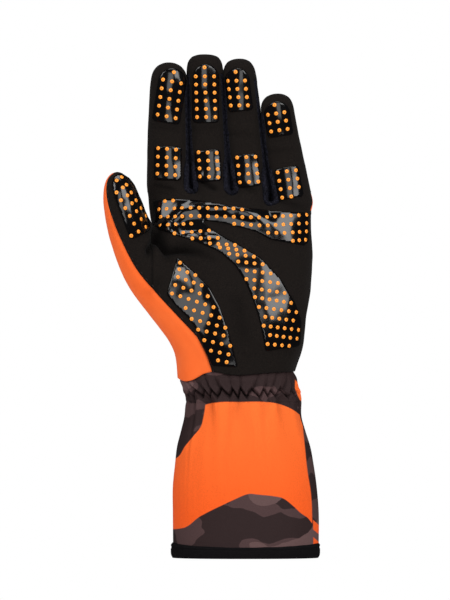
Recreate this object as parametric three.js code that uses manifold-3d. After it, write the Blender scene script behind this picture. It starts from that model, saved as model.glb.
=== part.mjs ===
// Karting glove for the left hand, in the form it has when worn.
// Millimetres. +Z runs from the hem to the fingertips, the palm faces -Y and the thumb points to -X.
// The origin is the middle of the hem's opening, where the hand goes in.
import * as THREE from "three";
import { mergeVertices } from "three/addons/utils/BufferGeometryUtils.js";
import Module from "manifold-3d";

const wasm = await Module();
wasm.setup();

// Heights of the parts, from the hem upwards
const hemHeight = 8.5;
const sleeveHeight = 83.5;
const gatherHeight = 17;
const palmLength = 103;

// Widths and depths
const cuffWidth = 86.4;
const cuffDepth = 66;
const wristDepth = 50;
const palmBreadth = 97;

// Cloth thicknesses, the gap between sewn pieces, and the raised grip film
const handWall = 1.4;
const sleeveWall = 1.6;
const hemWall = 3;
const seamGap = 0.3;
const gripThickness = 0.7;
const fingerGap = 0.8; // between two fingers that lie side by side
const foldDepth = 1.5; // gathers at the wrist, from valley to crest
const elasticPinch = 1.6; // how far the elastic draws the gathers in

// Levels along Z
const sleeveLevel = hemHeight + seamGap;
const gatherLevel = hemHeight + sleeveHeight;
const wristLevel = gatherLevel + gatherHeight;
const rootLevel = wristLevel + palmLength;

// Sections of the sleeve: up is a share of its height, left, right and depth are shares of the cuff's width
// and depth
const sleeveRows = [
  { up: 0.0, left: -0.5, right: 0.5, depth: 0.5 },
  { up: 0.22, left: -0.5, right: 0.5, depth: 0.5 },
  { up: 0.4, left: -0.5, right: 0.487, depth: 0.495 },
  { up: 0.56, left: -0.486, right: 0.466, depth: 0.48 },
  { up: 0.68, left: -0.473, right: 0.445, depth: 0.46 },
  { up: 0.79, left: -0.445, right: 0.411, depth: 0.43 },
  { up: 0.9, left: -0.418, right: 0.377, depth: 0.4 },
  { up: 1.0, left: -0.412, right: 0.365, depth: 0.383 },
];

// Sections of the gathers: up is a share of their height, fold of the fold's depth, side changes crests into
// valleys, and pinch is a share of the elastic's pinch
const gatherRows = [
  { up: 0.0, fold: 0.35, side: -1, pinch: 0 },
  { up: 0.18, fold: 0.9, side: -1, pinch: 0.7 },
  { up: 0.3, fold: 1, side: -1, pinch: 1 },
  { up: 0.42, fold: 1, side: 1, pinch: 1 },
  { up: 0.62, fold: 0.8, side: 1, pinch: 0.4 },
  { up: 1.0, fold: 0.25, side: 1, pinch: 0 },
];

// Sections of the palm: up is a share of the palm's length, left and right of the breadth, front and back of
// the wrist's depth; seam shifts the edge of the side panel towards the little finger, as a share of the breadth;
// rim is where the suede ends on the little finger's side, as a share of the half depth behind the middle
const palmRows = [
  { up: 0.0, left: -0.417, right: 0.301, front: 0.44, back: 0.46, seam: 0.055, rim: 0.17 },
  { up: 0.075, left: -0.423, right: 0.318, front: 0.46, back: 0.45, seam: 0.03, rim: 0.17 },
  { up: 0.15, left: -0.431, right: 0.34, front: 0.48, back: 0.44, seam: 0, rim: 0.1 },
  { up: 0.26, left: -0.45, right: 0.362, front: 0.49, back: 0.42, seam: 0, rim: -0.24 },
  { up: 0.37, left: -0.474, right: 0.377, front: 0.48, back: 0.4, seam: 0, rim: -0.26 },
  { up: 0.48, left: -0.5, right: 0.392, front: 0.45, back: 0.385, seam: 0, rim: 0.05 },
  { up: 0.59, left: -0.525, right: 0.405, front: 0.42, back: 0.37, seam: 0, rim: 0.17 },
  { up: 0.7, left: -0.55, right: 0.415, front: 0.385, back: 0.355, seam: 0, rim: 0.17 },
  { up: 0.825, left: -0.575, right: 0.405, front: 0.355, back: 0.34, seam: 0, rim: 0.17 },
  { up: 0.895, left: -0.585, right: 0.4, front: 0.335, back: 0.325, seam: 0, rim: 0.17 },
  { up: 0.95, left: -0.592, right: 0.403, front: 0.31, back: 0.31, seam: 0, rim: 0.17 },
  { up: 1.0, left: -0.593, right: 0.404, front: 0.27, back: 0.28, seam: 0, rim: 0.1 },
];

// Edge of the palm at the wrist and line of the finger roots: across runs from 0 at the thumb side to 1,
// wrist and root are rises as shares of the palm's length
const edgeRows = [
  { across: 0.0, wrist: 0.015, root: 0.012 },
  { across: 0.1, wrist: -0.02, root: 0.02 },
  { across: 0.25, wrist: 0.004, root: 0.028 },
  { across: 0.5, wrist: -0.012, root: 0.023 },
  { across: 0.75, wrist: 0.0, root: -0.045 },
  { across: 1.0, wrist: 0.01, root: -0.07 },
];

// Fingers from the thumb side: length runs from the root level to the tip, as a share of the palm's length; x
// and half are the middle and the half width at the root, half way and at the start of the rounded tip, as
// shares of the palm's breadth; depths are half depths and curl the tip's way forward, as shares of the wrist's
// depth; cap is the rounded tip's share of the length and blunt its fullness
const fingerTable = [
  { name: "index", length: 0.7757, rootX: -0.463, midX: -0.469, tipX: -0.466, rootHalf: 0.137, midHalf: 0.1258,
    tipHalf: 0.1134, rootDepth: 0.235, tipDepth: 0.18, curl: 0.17, cap: 0.16, blunt: 2.3 },
  { name: "middle", length: 0.8223, rootX: -0.2026, midX: -0.2294, tipX: -0.2455, rootHalf: 0.1232, midHalf: 0.1129,
    tipHalf: 0.1082, rootDepth: 0.235, tipDepth: 0.18, curl: 0.15, cap: 0.12, blunt: 2.9 },
  { name: "ring", length: 0.7971, rootX: 0.0387, midX: -0.0057, tipX: -0.036, rootHalf: 0.118, midHalf: 0.1108,
    tipHalf: 0.099, rootDepth: 0.23, tipDepth: 0.175, curl: 0.16, cap: 0.13, blunt: 2.5 },
  { name: "little", length: 0.596, rootX: 0.282, midX: 0.233, tipX: 0.1974, rootHalf: 0.1253, midHalf: 0.1144,
    tipHalf: 0.0995, rootDepth: 0.22, tipDepth: 0.165, curl: 0.17, cap: 0.17, blunt: 2.4 },
];
const fingers = fingerTable.map((row) => ({ ...row, length: row.length * palmLength }));
// Rows of a finger, as shares of the way from its root to the start of the cap, and open is how far the
// sidewall comes round to the palm side there, as a share of the half width
const fingerRows = [
  { way: 0.055, open: 0.36 },
  { way: 0.14, open: 0.34 },
  { way: 0.28, open: 0.2 },
  { way: 0.5, open: 0.13 },
  { way: 0.76, open: 0.13 },
  { way: 1.0, open: 0.13 },
];
const capTurns = [36, 66]; // degrees round the tip

// The thumb as rungs between its outer and inner outline: x as shares of the palm's breadth, z of the palm's
// length over the wrist; depth is the half depth and forward the way to the palm side, as shares of the
// wrist's depth; seam is the turn in degrees from the inner outline round the front to the side panel
const thumbRows = [
  { outerX: -0.49, outerZ: 0.222, innerX: -0.535, innerZ: 0.825, depth: 0.37, forward: 0.12, seam: 112 },
  { outerX: -0.58, outerZ: 0.322, innerX: -0.567, innerZ: 0.852, depth: 0.345, forward: 0.16, seam: 112 },
  { outerX: -0.662, outerZ: 0.42, innerX: -0.585, innerZ: 0.876, depth: 0.32, forward: 0.22, seam: 113 },
  { outerX: -0.73, outerZ: 0.523, innerX: -0.601, innerZ: 0.912, depth: 0.3, forward: 0.28, seam: 115 },
  { outerX: -0.786, outerZ: 0.652, innerX: -0.619, innerZ: 0.966, depth: 0.28, forward: 0.34, seam: 119 },
  { outerX: -0.833, outerZ: 0.786, innerX: -0.643, innerZ: 1.02, depth: 0.26, forward: 0.385, seam: 126 },
  { outerX: -0.856, outerZ: 0.914, innerX: -0.675, innerZ: 1.068, depth: 0.235, forward: 0.42, seam: 134 },
  { outerX: -0.864, outerZ: 1.02, innerX: -0.705, innerZ: 1.108, depth: 0.19, forward: 0.44, seam: 142 },
  { outerX: -0.848, outerZ: 1.105, innerX: -0.742, innerZ: 1.138, depth: 0.12, forward: 0.455, seam: 148 },
];
const thumbTip = { x: -0.795, z: 1.158, forward: 0.46 };

// Grips on the fingers: top and bottom are distances from the fingertip as shares of the finger's length,
// width and across are shares of the finger's root width, and tilt is in degrees
const fingerGrips = [
  { finger: "index", part: "tip", top: 0.058, bottom: 0.448, width: 0.62, across: 0.035, tilt: -9, round: true },
  { finger: "middle", part: "tip", top: 0.086, bottom: 0.478, width: 0.645, across: 0.0, tilt: 0, round: true },
  { finger: "ring", part: "tip", top: 0.078, bottom: 0.378, width: 0.55, across: -0.01, tilt: 7, round: true },
  { finger: "little", part: "tip", top: 0.085, bottom: 0.41, width: 0.53, across: 0.02, tilt: 9, round: true },
  { finger: "index", part: "pad", top: 0.618, bottom: 0.87, width: 0.61, across: -0.01, tilt: -1, round: false },
  { finger: "middle", part: "pad", top: 0.664, bottom: 0.886, width: 0.62, across: -0.03, tilt: 4, round: false },
  { finger: "ring", part: "pad", top: 0.685, bottom: 0.92, width: 0.61, across: -0.02, tilt: 6, round: false },
  { finger: "little", part: "pad", top: 0.7, bottom: 1.005, width: 0.58, across: 0.03, tilt: 10, round: false },
];

// Outlines of the palm's grips: across is a share of the palm's breadth from the origin, up a share of the
// palm's length over the wrist
const palmGripOutline = [
  { across: -0.562, up: 0.984 }, { across: -0.432, up: 0.998 }, { across: -0.245, up: 0.98 },
  { across: -0.015, up: 0.946 }, { across: 0.178, up: 0.925 }, { across: 0.38, up: 0.916 },
  { across: 0.382, up: 0.748 }, { across: 0.357, up: 0.728 }, { across: 0.153, up: 0.762 },
  { across: 0.068, up: 0.806 }, { across: -0.135, up: 0.858 }, { across: -0.262, up: 0.872 },
  { across: -0.219, up: 0.832 }, { across: -0.163, up: 0.797 }, { across: -0.061, up: 0.745 },
  { across: 0.096, up: 0.657 }, { across: 0.208, up: 0.544 }, { across: 0.3, up: 0.404 },
  { across: 0.338, up: 0.299 }, { across: 0.329, up: 0.155 }, { across: 0.12, up: 0.124 },
  { across: 0.106, up: 0.212 }, { across: 0.078, up: 0.326 }, { across: 0.041, up: 0.43 },
  { across: 0.003, up: 0.517 }, { across: -0.061, up: 0.614 }, { across: -0.155, up: 0.692 },
  { across: -0.294, up: 0.752 }, { across: -0.4, up: 0.798 }, { across: -0.45, up: 0.85 },
  { across: -0.535, up: 0.882 },
];
const thenarGripOutline = [
  { across: -0.409, up: 0.64 }, { across: -0.302, up: 0.57 }, { across: -0.219, up: 0.491 },
  { across: -0.155, up: 0.378 }, { across: -0.098, up: 0.22 }, { across: -0.047, up: 0.054 },
  { across: -0.155, up: 0.054 }, { across: -0.237, up: 0.116 }, { across: -0.274, up: 0.212 },
  { across: -0.339, up: 0.309 }, { across: -0.423, up: 0.386 }, { across: -0.479, up: 0.451 },
];
const thumbGripOutline = [
  { across: -0.797, up: 1.125 }, { across: -0.755, up: 1.14 }, { across: -0.69, up: 1.1 },
  { across: -0.655, up: 1.03 }, { across: -0.625, up: 0.955 }, { across: -0.59, up: 0.88 },
  { across: -0.574, up: 0.817 }, { across: -0.693, up: 0.756 }, { across: -0.722, up: 0.824 },
  { across: -0.758, up: 0.92 }, { across: -0.792, up: 1.006 }, { across: -0.808, up: 1.08 },
];

const suede = new THREE.MeshStandardMaterial({ color: 0x1d1a19, roughness: 0.95 });
const orangeCloth = new THREE.MeshStandardMaterial({ color: 0xfa6b2d, roughness: 0.8 });
const camoCloth = new THREE.MeshStandardMaterial({ color: 0x35262b, roughness: 0.85 });
const knit = new THREE.MeshStandardMaterial({ color: 0x1c1b24, roughness: 0.95 });
const gripFilm = new THREE.MeshStandardMaterial({ color: 0x110f11, roughness: 0.2 });
const hemKnit = new THREE.MeshStandardMaterial({ color: 0x151215, roughness: 0.9 });

const mix = THREE.MathUtils.lerp;
const radians = THREE.MathUtils.degToRad;

// A smooth reading of one column of a table, between its rows
function read(rows, key, at, column) {
  const place = THREE.MathUtils.clamp(at, rows[0][key], rows.at(-1)[key]);
  const i = Math.max(rows.findLastIndex((row, n) => row[key] <= place && n < rows.length - 1), 0);
  const slope = (k) => {
    const a = rows[Math.max(k - 1, 0)];
    const b = rows[Math.min(k + 1, rows.length - 1)];
    return (b[column] - a[column]) / (b[key] - a[key]);
  };
  const step = rows[i + 1][key] - rows[i][key];
  const t = (place - rows[i][key]) / step;
  const [t2, t3] = [t * t, t * t * t];
  return (2 * t3 - 3 * t2 + 1) * rows[i][column] + (t3 - 2 * t2 + t) * slope(i) * step +
    (3 * t2 - 2 * t3) * rows[i + 1][column] + (t3 - t2) * slope(i + 1) * step;
}

// The hand's skin is one sheet of four-sided faces. Every face carries the name of its sewn piece.
const points = [];
const faces = [];
const addPoint = (x, y, z) => points.push(new THREE.Vector3(x, y, z)) - 1;
const addFace = (piece, ...corners) => faces.push({ piece, corners });

// Round section: how deep a point lies at a share of the half width, and how wide at a share of the depth
const fullness = 2.3;
const companion = (share) => (1 - Math.min(Math.abs(share), 1) ** fullness) ** (1 / fullness);

// Palm, in rings: 16 columns in front from the thumb side on, 3 on the little finger's side, 16 behind
// running back, and 3 on the thumb side
const columns = 16;
const sideSteps = 3;
const ringSize = 2 * (columns + sideSteps);
const backStart = columns + sideSteps;
const edgeShare = 0.9; // where the front ends and the side starts, as a share of the half width
const behind = (column) => backStart + columns - column;

// Where a column stands between the left and the right of the palm; the finger roots are not quite even
const rootShares = [0, 0.267, 0.515, 0.752, 1];
function columnShare(column) {
  const finger = Math.min(Math.floor(column / 4), 3);
  return mix(rootShares[finger], rootShares[finger + 1], column / 4 - finger);
}

const thumbFrontColumn = 3; // the thumb grows out of the columns up to this one
const thumbBottomRow = 2;
const thumbTopRow = 8;

function palmRing(row) {
  const left = row.left * palmBreadth;
  const right = row.right * palmBreadth;
  const middle = (left + right) / 2;
  const half = (right - left) / 2;
  const level = (share) => {
    const bottom = wristLevel + read(edgeRows, "across", share, "wrist") * palmLength;
    const top = rootLevel + read(edgeRows, "across", share, "root") * palmLength;
    return mix(bottom, top, row.up);
  };
  const surface = (share, depth) => {
    const wide = (2 * share - 1) * edgeShare;
    const shift = row.seam * palmBreadth * Math.max(0, 1 - Math.abs(share * columns - 3) / 3);
    const x = middle + wide * half + shift;
    return addPoint(x, depth * wristDepth * companion(wide), level((x - left) / (right - left)));
  };
  const side = (sign, step) => {
    const edge = companion(edgeShare);
    const even = mix(-edge, edge, step / sideSteps);
    const turn = sign < 0 ? even : step > 1 ? row.rim : (row.rim - edge) / 2;
    const depth = turn < 0 ? row.front : row.back;
    const y = turn * depth;
    return addPoint(middle + sign * half * companion(turn), y * wristDepth, level((sign + 1) / 2));
  };
  const ring = [];
  for (let c = 0; c <= columns; c++) ring.push(surface(columnShare(c), -row.front));
  for (let s = 1; s < sideSteps; s++) ring.push(side(1, s));
  for (let c = columns; c >= 0; c--) ring.push(surface(columnShare(c), row.back));
  for (let s = sideSteps - 1; s > 0; s--) ring.push(side(-1, s));
  for (const c of [4, 8, 12]) {
    const inset = THREE.MathUtils.smoothstep(row.up, 0.9, 1);
    points[ring[c]].y *= 1 - 0.45 * inset;
    points[ring[behind(c)]].y *= 1 - 0.3 * inset;
  }
  return ring;
}
const palmRings = palmRows.map((row) => palmRing(row));

function palmPiece(r, k) {
  const below = r < thumbBottomRow;
  if (k < thumbFrontColumn && below) return "thumb_side_panel";
  if (k < columns + 2) return "palm_panel";
  if (k < backStart + columns) return "back_panel";
  if (below) return "thumb_side_panel";
  return k > backStart + columns ? "palm_panel" : "back_panel";
}

const inThumbHole = (r, k) =>
  r >= thumbBottomRow && r < thumbTopRow && (k < thumbFrontColumn || k >= backStart + columns);

for (let r = 0; r < palmRings.length - 1; r++) {
  for (let k = 0; k < ringSize; k++) {
    if (inThumbHole(r, k)) continue;
    const next = (k + 1) % ringSize;
    addFace(palmPiece(r, k), palmRings[r][k], palmRings[r][next], palmRings[r + 1][next], palmRings[r + 1][k]);
  }
}

// Crotches between the fingers, from the front ring point to the back one
const topRing = palmRings.at(-1);
const crotches = [4, 8, 12].map((c) => {
  const front = points[topRing[c]];
  const rear = points[topRing[behind(c)]];
  const inner = [1 / 3, 2 / 3].map((share) => {
    const p = front.clone().lerp(rear, share);
    return addPoint(p.x, p.y, p.z);
  });
  return [topRing[c], ...inner, topRing[behind(c)]];
});

// Fingers: rings of 4 columns in front, 3 steps on the side, 4 behind and 3 on the other side
const fingerColumns = 4;
const fingerRingSize = 2 * (fingerColumns + sideSteps);

function throughThree(a, b, c, t) {
  return a * (1 - t) * (1 - 2 * t) + b * 4 * t * (1 - t) + c * t * (2 * t - 1);
}

function fingerAt(finger, share) {
  const t = Math.min(share / (1 - finger.cap), 1.05);
  return {
    x: throughThree(finger.rootX, finger.midX, finger.tipX, t) * palmBreadth,
    half: throughThree(finger.rootHalf, finger.midHalf, finger.tipHalf, Math.min(t, 1)) * palmBreadth - fingerGap / 2,
    depth: mix(finger.rootDepth, finger.tipDepth, Math.min(t, 1)) * wristDepth,
    y: -finger.curl * share * share * wristDepth,
    z: rootLevel + share * finger.length,
  };
}

function fingerRing(at, open, scale) {
  const ring = [];
  const column = (c, sign) => {
    const wide = (c / 2 - 1) * (c < 2 ? 1 - open.left : 1 - open.right);
    const depth = sign < 0 ? companion(wide) : companion((c / 2 - 1) * edgeShare);
    const x = sign < 0 ? wide : (c / 2 - 1) * edgeShare;
    ring.push(addPoint(at.x + x * at.half * scale, at.y + sign * at.depth * scale * depth, at.z));
  };
  const side = (sign, step) => {
    const frontEdge = -companion(1 - (sign < 0 ? open.left : open.right));
    const depth = mix(frontEdge, companion(edgeShare), step / sideSteps);
    ring.push(addPoint(at.x + sign * at.half * scale * companion(depth), at.y + at.depth * scale * depth, at.z));
  };
  for (let c = 0; c <= fingerColumns; c++) column(c, -1);
  for (let s = 1; s < sideSteps; s++) side(1, s);
  for (let c = fingerColumns; c >= 0; c--) column(c, 1);
  for (let s = sideSteps - 1; s > 0; s--) side(-1, s);
  return ring;
}

fingers.forEach((finger, i) => {
  const start = i * fingerColumns;
  const frontColumns = [0, 1, 2, 3, 4].map((c) => topRing[start + c]);
  const backColumns = [4, 3, 2, 1, 0].map((c) => topRing[behind(start + c)]);
  const right = i < 3 ? crotches[i].slice(1, 3) : [columns + 1, columns + 2].map((k) => topRing[k]);
  const left = i > 0 ? crotches[i - 1].slice(1, 3).reverse() : [ringSize - 2, ringSize - 1].map((k) => topRing[k]);
  const rings = [[...frontColumns, ...right, ...backColumns, ...left]];
  const rootShare = (points[topRing[start + 2]].z - rootLevel) / finger.length;
  for (const row of fingerRows) {
    const share = mix(rootShare, 1 - finger.cap, row.way);
    const open = { left: i > 0 ? row.open : 0.1, right: i < 3 ? row.open : 0.1 };
    rings.push(fingerRing(fingerAt(finger, share), open, 1));
  }
  for (const turn of capTurns) {
    const angle = radians(turn);
    const at = fingerAt(finger, 1 - finger.cap);
    const rise = Math.sin(angle) ** (2 / finger.blunt) * finger.cap;
    const higher = fingerAt(finger, 1 - finger.cap + rise);
    at.x = higher.x;
    at.y = higher.y;
    at.z = higher.z;
    rings.push(fingerRing(at, { left: 0.13, right: 0.13 }, Math.cos(angle) ** (2 / finger.blunt)));
  }
  const lastSide = fingerRows.length; // the sidewalls end where the cap starts
  for (let r = 0; r < rings.length - 1; r++) {
    for (let k = 0; k < fingerRingSize; k++) {
      const next = (k + 1) % fingerRingSize;
      let piece = "palm_panel";
      const onRight = k >= 4 && k < 7;
      const onLeft = k >= 11;
      if (onRight && i < 3 && r < lastSide) piece = `sidewall_${finger.name}_${fingers[i + 1].name}`;
      else if (onLeft && i > 0 && r < lastSide) piece = `sidewall_${fingers[i - 1].name}_${finger.name}`;
      else if (k >= 7 && k < 11 && r > 0) piece = `${finger.name}_back`;
      else if (k >= 7 && k < 11) piece = "back_panel";
      else if (onRight && k > 4 && r < 2) piece = "back_panel";
      else if (k === 6 || k === 11) piece = r > 0 && r < lastSide ? `${finger.name}_back` : r ? "palm_panel" : "back_panel";
      addFace(piece, rings[r][k], rings[r][next], rings[r + 1][next], rings[r + 1][k]);
    }
  }
  // The tip closes with a patch of 4 by 3 faces
  const last = rings.at(-1);
  const grid = [[0, 1, 2, 3, 4], [13, 0, 0, 0, 5], [12, 0, 0, 0, 6], [11, 10, 9, 8, 7]].map((line) =>
    line.map((k) => last[k]),
  );
  const top = fingerAt(finger, 1);
  for (const [b, share] of [[1, 1 / 3], [2, 2 / 3]]) {
    for (let a = 1; a < 4; a++) {
      const p = points[grid[0][a]].clone().lerp(points[grid[3][a]], share);
      grid[b][a] = addPoint(p.x, p.y, mix(p.z, top.z, a === 2 ? 1 : 0.85));
    }
  }
  for (let b = 0; b < 3; b++) {
    for (let a = 0; a < 4; a++) {
      const piece = b < 2 ? "palm_panel" : `${finger.name}_back`;
      addFace(piece, grid[b][a], grid[b][a + 1], grid[b + 1][a + 1], grid[b + 1][a]);
    }
  }
});

// Thumb: it starts at the hole's edge, up the front, back along the top, down behind and forward underneath
const holeColumns = thumbFrontColumn + sideSteps;
const hole = [];
for (let r = thumbBottomRow; r < thumbTopRow; r++) hole.push(palmRings[r][thumbFrontColumn]);
for (let c = 0; c < holeColumns; c++) {
  hole.push(palmRings[thumbTopRow][(thumbFrontColumn - c + ringSize) % ringSize]);
}
for (let r = thumbTopRow; r > thumbBottomRow; r--) hole.push(palmRings[r][backStart + columns]);
for (let c = 0; c < holeColumns; c++) {
  hole.push(palmRings[thumbBottomRow][(backStart + columns + c) % ringSize]);
}

const thumbPlace = (x, z, forward) =>
  new THREE.Vector3(x * palmBreadth, -forward * wristDepth, wristLevel + z * palmLength);

const thumbRings = [hole];
for (const row of thumbRows) {
  const outer = thumbPlace(row.outerX, row.outerZ, row.forward);
  const inner = thumbPlace(row.innerX, row.innerZ, row.forward);
  const centre = outer.clone().lerp(inner, 0.5);
  const reach = inner.clone().sub(centre);
  thumbRings.push(
    hole.map((_, k) => {
      const angle = radians(row.seam - (360 * k) / hole.length);
      const p = centre.clone().addScaledVector(reach, Math.cos(angle));
      return addPoint(p.x, p.y - row.depth * wristDepth * Math.sin(angle), p.z);
    }),
  );
}
const suedeFaces = 11; // faces of a thumb ring from the seam round the front to the web
for (let r = 0; r < thumbRings.length - 1; r++) {
  for (let k = 0; k < hole.length; k++) {
    const next = (k + 1) % hole.length;
    const piece = k < suedeFaces ? (r < 2 ? "palm_panel" : "thumb_front") : "thumb_side_panel";
    addFace(piece, thumbRings[r][k], thumbRings[r][next], thumbRings[r + 1][next], thumbRings[r + 1][k]);
  }
}
const tipPlace = thumbPlace(thumbTip.x, thumbTip.z, thumbTip.forward);
const tipPoint = addPoint(...tipPlace.toArray());
const lastThumb = thumbRings.at(-1);
for (let k = 0; k < hole.length; k += 2) {
  const piece = k < suedeFaces ? "thumb_front" : "thumb_side_panel";
  addFace(piece, lastThumb[k], lastThumb[k + 1], lastThumb[(k + 2) % hole.length], tipPoint);
}

// Two rounds of easing take the creases out of the place where the thumb joins the palm
const neighbours = points.map(() => new Set());
for (const { corners } of faces) {
  corners.forEach((p, n) => {
    neighbours[p].add(corners[(n + 1) % 4]);
    neighbours[p].add(corners[(n + 3) % 4]);
  });
}
const eased = new Set([...thumbRings[0], ...thumbRings[1], ...thumbRings[2]]);
for (let round = 0; round < 2; round++) {
  const moved = new Map();
  for (const p of eased) {
    const middle = new THREE.Vector3();
    for (const q of neighbours[p]) middle.add(points[q]);
    moved.set(p, points[p].clone().lerp(middle.divideScalar(neighbours[p].size), 0.4));
  }
  for (const [p, place] of moved) points[p].copy(place);
}

// Outward direction at every point of the skin
const outward = points.map(() => new THREE.Vector3());
for (const { corners } of faces) {
  const [a, b, c, d] = corners.map((p) => points[p]);
  const normal = c.clone().sub(a).cross(d.clone().sub(b));
  for (const p of corners) outward[p].add(normal);
}
for (const n of outward) n.normalize();

// Solid piece from a patch of the skin: outer and inner are distances along the outward direction, and inset
// draws the patch's edge back from its neighbours
function patchGeometry(patch, outer, inner, inset) {
  const edges = new Map();
  for (const { corners } of patch) {
    corners.forEach((a, n) => {
      const b = corners[(n + 1) % 4];
      if (edges.has(`${b}_${a}`)) edges.delete(`${b}_${a}`);
      else edges.set(`${a}_${b}`, [a, b]);
    });
  }
  const pull = new Map();
  for (const [a, b] of edges.values()) {
    const along = points[b].clone().sub(points[a]).normalize();
    for (const p of [a, b]) {
      const into = new THREE.Vector3().crossVectors(outward[p], along).normalize();
      if (!pull.has(p)) pull.set(p, []);
      pull.get(p).push(into);
    }
  }
  const used = [...new Set(patch.flatMap(({ corners }) => corners))];
  const order = new Map(used.map((p, n) => [p, n]));
  const place = (p, distance) => {
    const spot = points[p].clone().addScaledVector(outward[p], distance);
    const pulls = pull.get(p);
    if (pulls) {
      const way = pulls.reduce((sum, v) => sum.add(v), new THREE.Vector3()).normalize();
      const lean = Math.max(way.dot(pulls[0]), 0.5);
      spot.addScaledVector(way, inset / lean);
    }
    return spot;
  };
  const all = [...used.map((p) => place(p, outer)), ...used.map((p) => place(p, inner))];
  const index = [];
  const under = used.length;
  for (const { corners } of patch) {
    const [a, b, c, d] = corners.map((p) => order.get(p));
    index.push(a, b, c, a, c, d);
    index.push(a + under, c + under, b + under, a + under, d + under, c + under);
  }
  for (const [a, b] of edges.values()) {
    const [p, q] = [order.get(a), order.get(b)];
    index.push(p, q + under, q, p, p + under, q + under);
  }
  const geometry = new THREE.BufferGeometry().setFromPoints(all);
  geometry.setIndex(index);
  return geometry;
}

const glove = new THREE.Group();
function addMesh(name, geometry, material) {
  geometry.computeVertexNormals();
  const mesh = new THREE.Mesh(geometry, material);
  mesh.name = name;
  glove.add(mesh);
}

const clothOf = (piece) => {
  if (piece.startsWith("sidewall")) return knit;
  if (piece === "palm_panel" || piece === "thumb_front") return suede;
  return piece === "back_panel" || piece === "thumb_side_panel" ? orangeCloth : camoCloth;
};
for (const piece of new Set(faces.map((face) => face.piece))) {
  const patch = faces.filter((face) => face.piece === piece);
  const inset = piece.startsWith("sidewall") ? 1.5 * seamGap : seamGap / 2;
  addMesh(piece, patchGeometry(patch, 0, -handWall, inset), clothOf(piece));
}

// Grips: a film that stands on the suede, cut to its outline
function solidFrom(geometry) {
  for (const name of Object.keys(geometry.attributes)) {
    if (name !== "position") geometry.deleteAttribute(name);
  }
  const merged = mergeVertices(geometry, 1e-4);
  return new wasm.Manifold(
    new wasm.Mesh({
      numProp: 3,
      vertProperties: new Float32Array(merged.attributes.position.array),
      triVerts: new Uint32Array(merged.index.array),
    }),
  );
}

const filmOf = (...pieces) =>
  solidFrom(
    patchGeometry(faces.filter((face) => pieces.includes(face.piece)), seamGap + gripThickness, seamGap, 0),
  );
const palmFilm = filmOf("palm_panel");
const thumbFilm = filmOf("thumb_front", "palm_panel");

// An outline drawn in the front view, carried back to a given depth
function frontPrism(outline, far) {
  const near = -2 * wristDepth;
  const shape = new THREE.Shape(outline.map(([x, z]) => new THREE.Vector2(x, z)));
  const geometry = new THREE.ExtrudeGeometry(shape, { depth: far - near, bevelEnabled: false });
  const [x, y, z] = [new THREE.Vector3(1, 0, 0), new THREE.Vector3(0, 0, 1), new THREE.Vector3(0, -1, 0)];
  geometry.applyMatrix4(new THREE.Matrix4().makeBasis(x, y, z));
  return solidFrom(geometry.translate(0, far, 0));
}

function smoothOutline(outline, count) {
  const curve = new THREE.CatmullRomCurve3(outline.map(([x, z]) => new THREE.Vector3(x, z, 0)), true, "centripetal");
  return curve.getSpacedPoints(count).slice(0, -1).map((p) => [p.x, p.y]);
}

function addGrip(name, film, outline, far) {
  const cut = film.intersect(frontPrism(outline, far));
  const [grip] = cut.decompose().sort((a, b) => b.volume() - a.volume());
  const made = grip.getMesh();
  const geometry = new THREE.BufferGeometry();
  geometry.setAttribute("position", new THREE.BufferAttribute(new Float32Array(made.vertProperties), 3));
  geometry.setIndex(new THREE.BufferAttribute(new Uint32Array(made.triVerts), 1));
  addMesh(name, geometry, gripFilm);
}

function fingerGripOutline(grip) {
  const finger = fingers.find((f) => f.name === grip.finger);
  const middleShare = 1 - (grip.top + grip.bottom) / 2;
  const centre = fingerAt(finger, middleShare);
  const rootWidth = 2 * finger.rootHalf * palmBreadth;
  const half = (grip.width * rootWidth) / 2;
  const tall = ((grip.bottom - grip.top) * finger.length) / 2;
  const corner = 0.25 * half;
  const outline = [];
  const arc = (x, z, radius, from, to, steps) => {
    for (let k = 0; k <= steps; k++) {
      const angle = radians(mix(from, to, k / steps));
      outline.push([x + radius * Math.cos(angle), z + radius * Math.sin(angle)]);
    }
  };
  arc(half - corner, corner - tall, corner, -90, 0, 2);
  if (grip.round) arc(0, tall - half, half, 0, 180, 8);
  else {
    arc(half - corner, tall - corner, corner, 0, 90, 2);
    arc(corner - half, tall - corner, corner, 90, 180, 2);
  }
  arc(corner - half, corner - tall, corner, 180, 270, 2);
  const turn = radians(grip.tilt);
  return outline.map(([x, z]) => [
    centre.x + grip.across * rootWidth + x * Math.cos(turn) - z * Math.sin(turn),
    centre.z + x * Math.sin(turn) + z * Math.cos(turn),
  ]);
}
for (const grip of fingerGrips) {
  addGrip(`${grip.finger}_${grip.part}_grip`, palmFilm, fingerGripOutline(grip), -0.1 * wristDepth);
}
const onPalm = (row) => [row.across * palmBreadth, wristLevel + row.up * palmLength];
addGrip("palm_grip", palmFilm, palmGripOutline.map(onPalm), -0.1 * wristDepth);
addGrip("thenar_grip", palmFilm, smoothOutline(thenarGripOutline.map(onPalm), 24), -0.1 * wristDepth);
addGrip("thumb_grip", thumbFilm, smoothOutline(thumbGripOutline.map(onPalm), 20), -thumbTip.forward * wristDepth);

// Tubes of the wrist and the cuff, from an outer and an inner list of rings with equal counts
function tube(outerRings, innerRings) {
  const count = outerRings[0].length;
  const skin = [...outerRings, ...innerRings.toReversed()];
  const index = [];
  skin.forEach((_, r) => {
    const above = (r + 1) % skin.length;
    for (let k = 0; k < count; k++) {
      const next = (k + 1) % count;
      const [a, b] = [r * count + k, r * count + next];
      const [c, d] = [above * count + next, above * count + k];
      index.push(a, b, c, a, c, d);
    }
  });
  const geometry = new THREE.BufferGeometry().setFromPoints(skin.flat());
  geometry.setIndex(index);
  return geometry;
}

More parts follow.
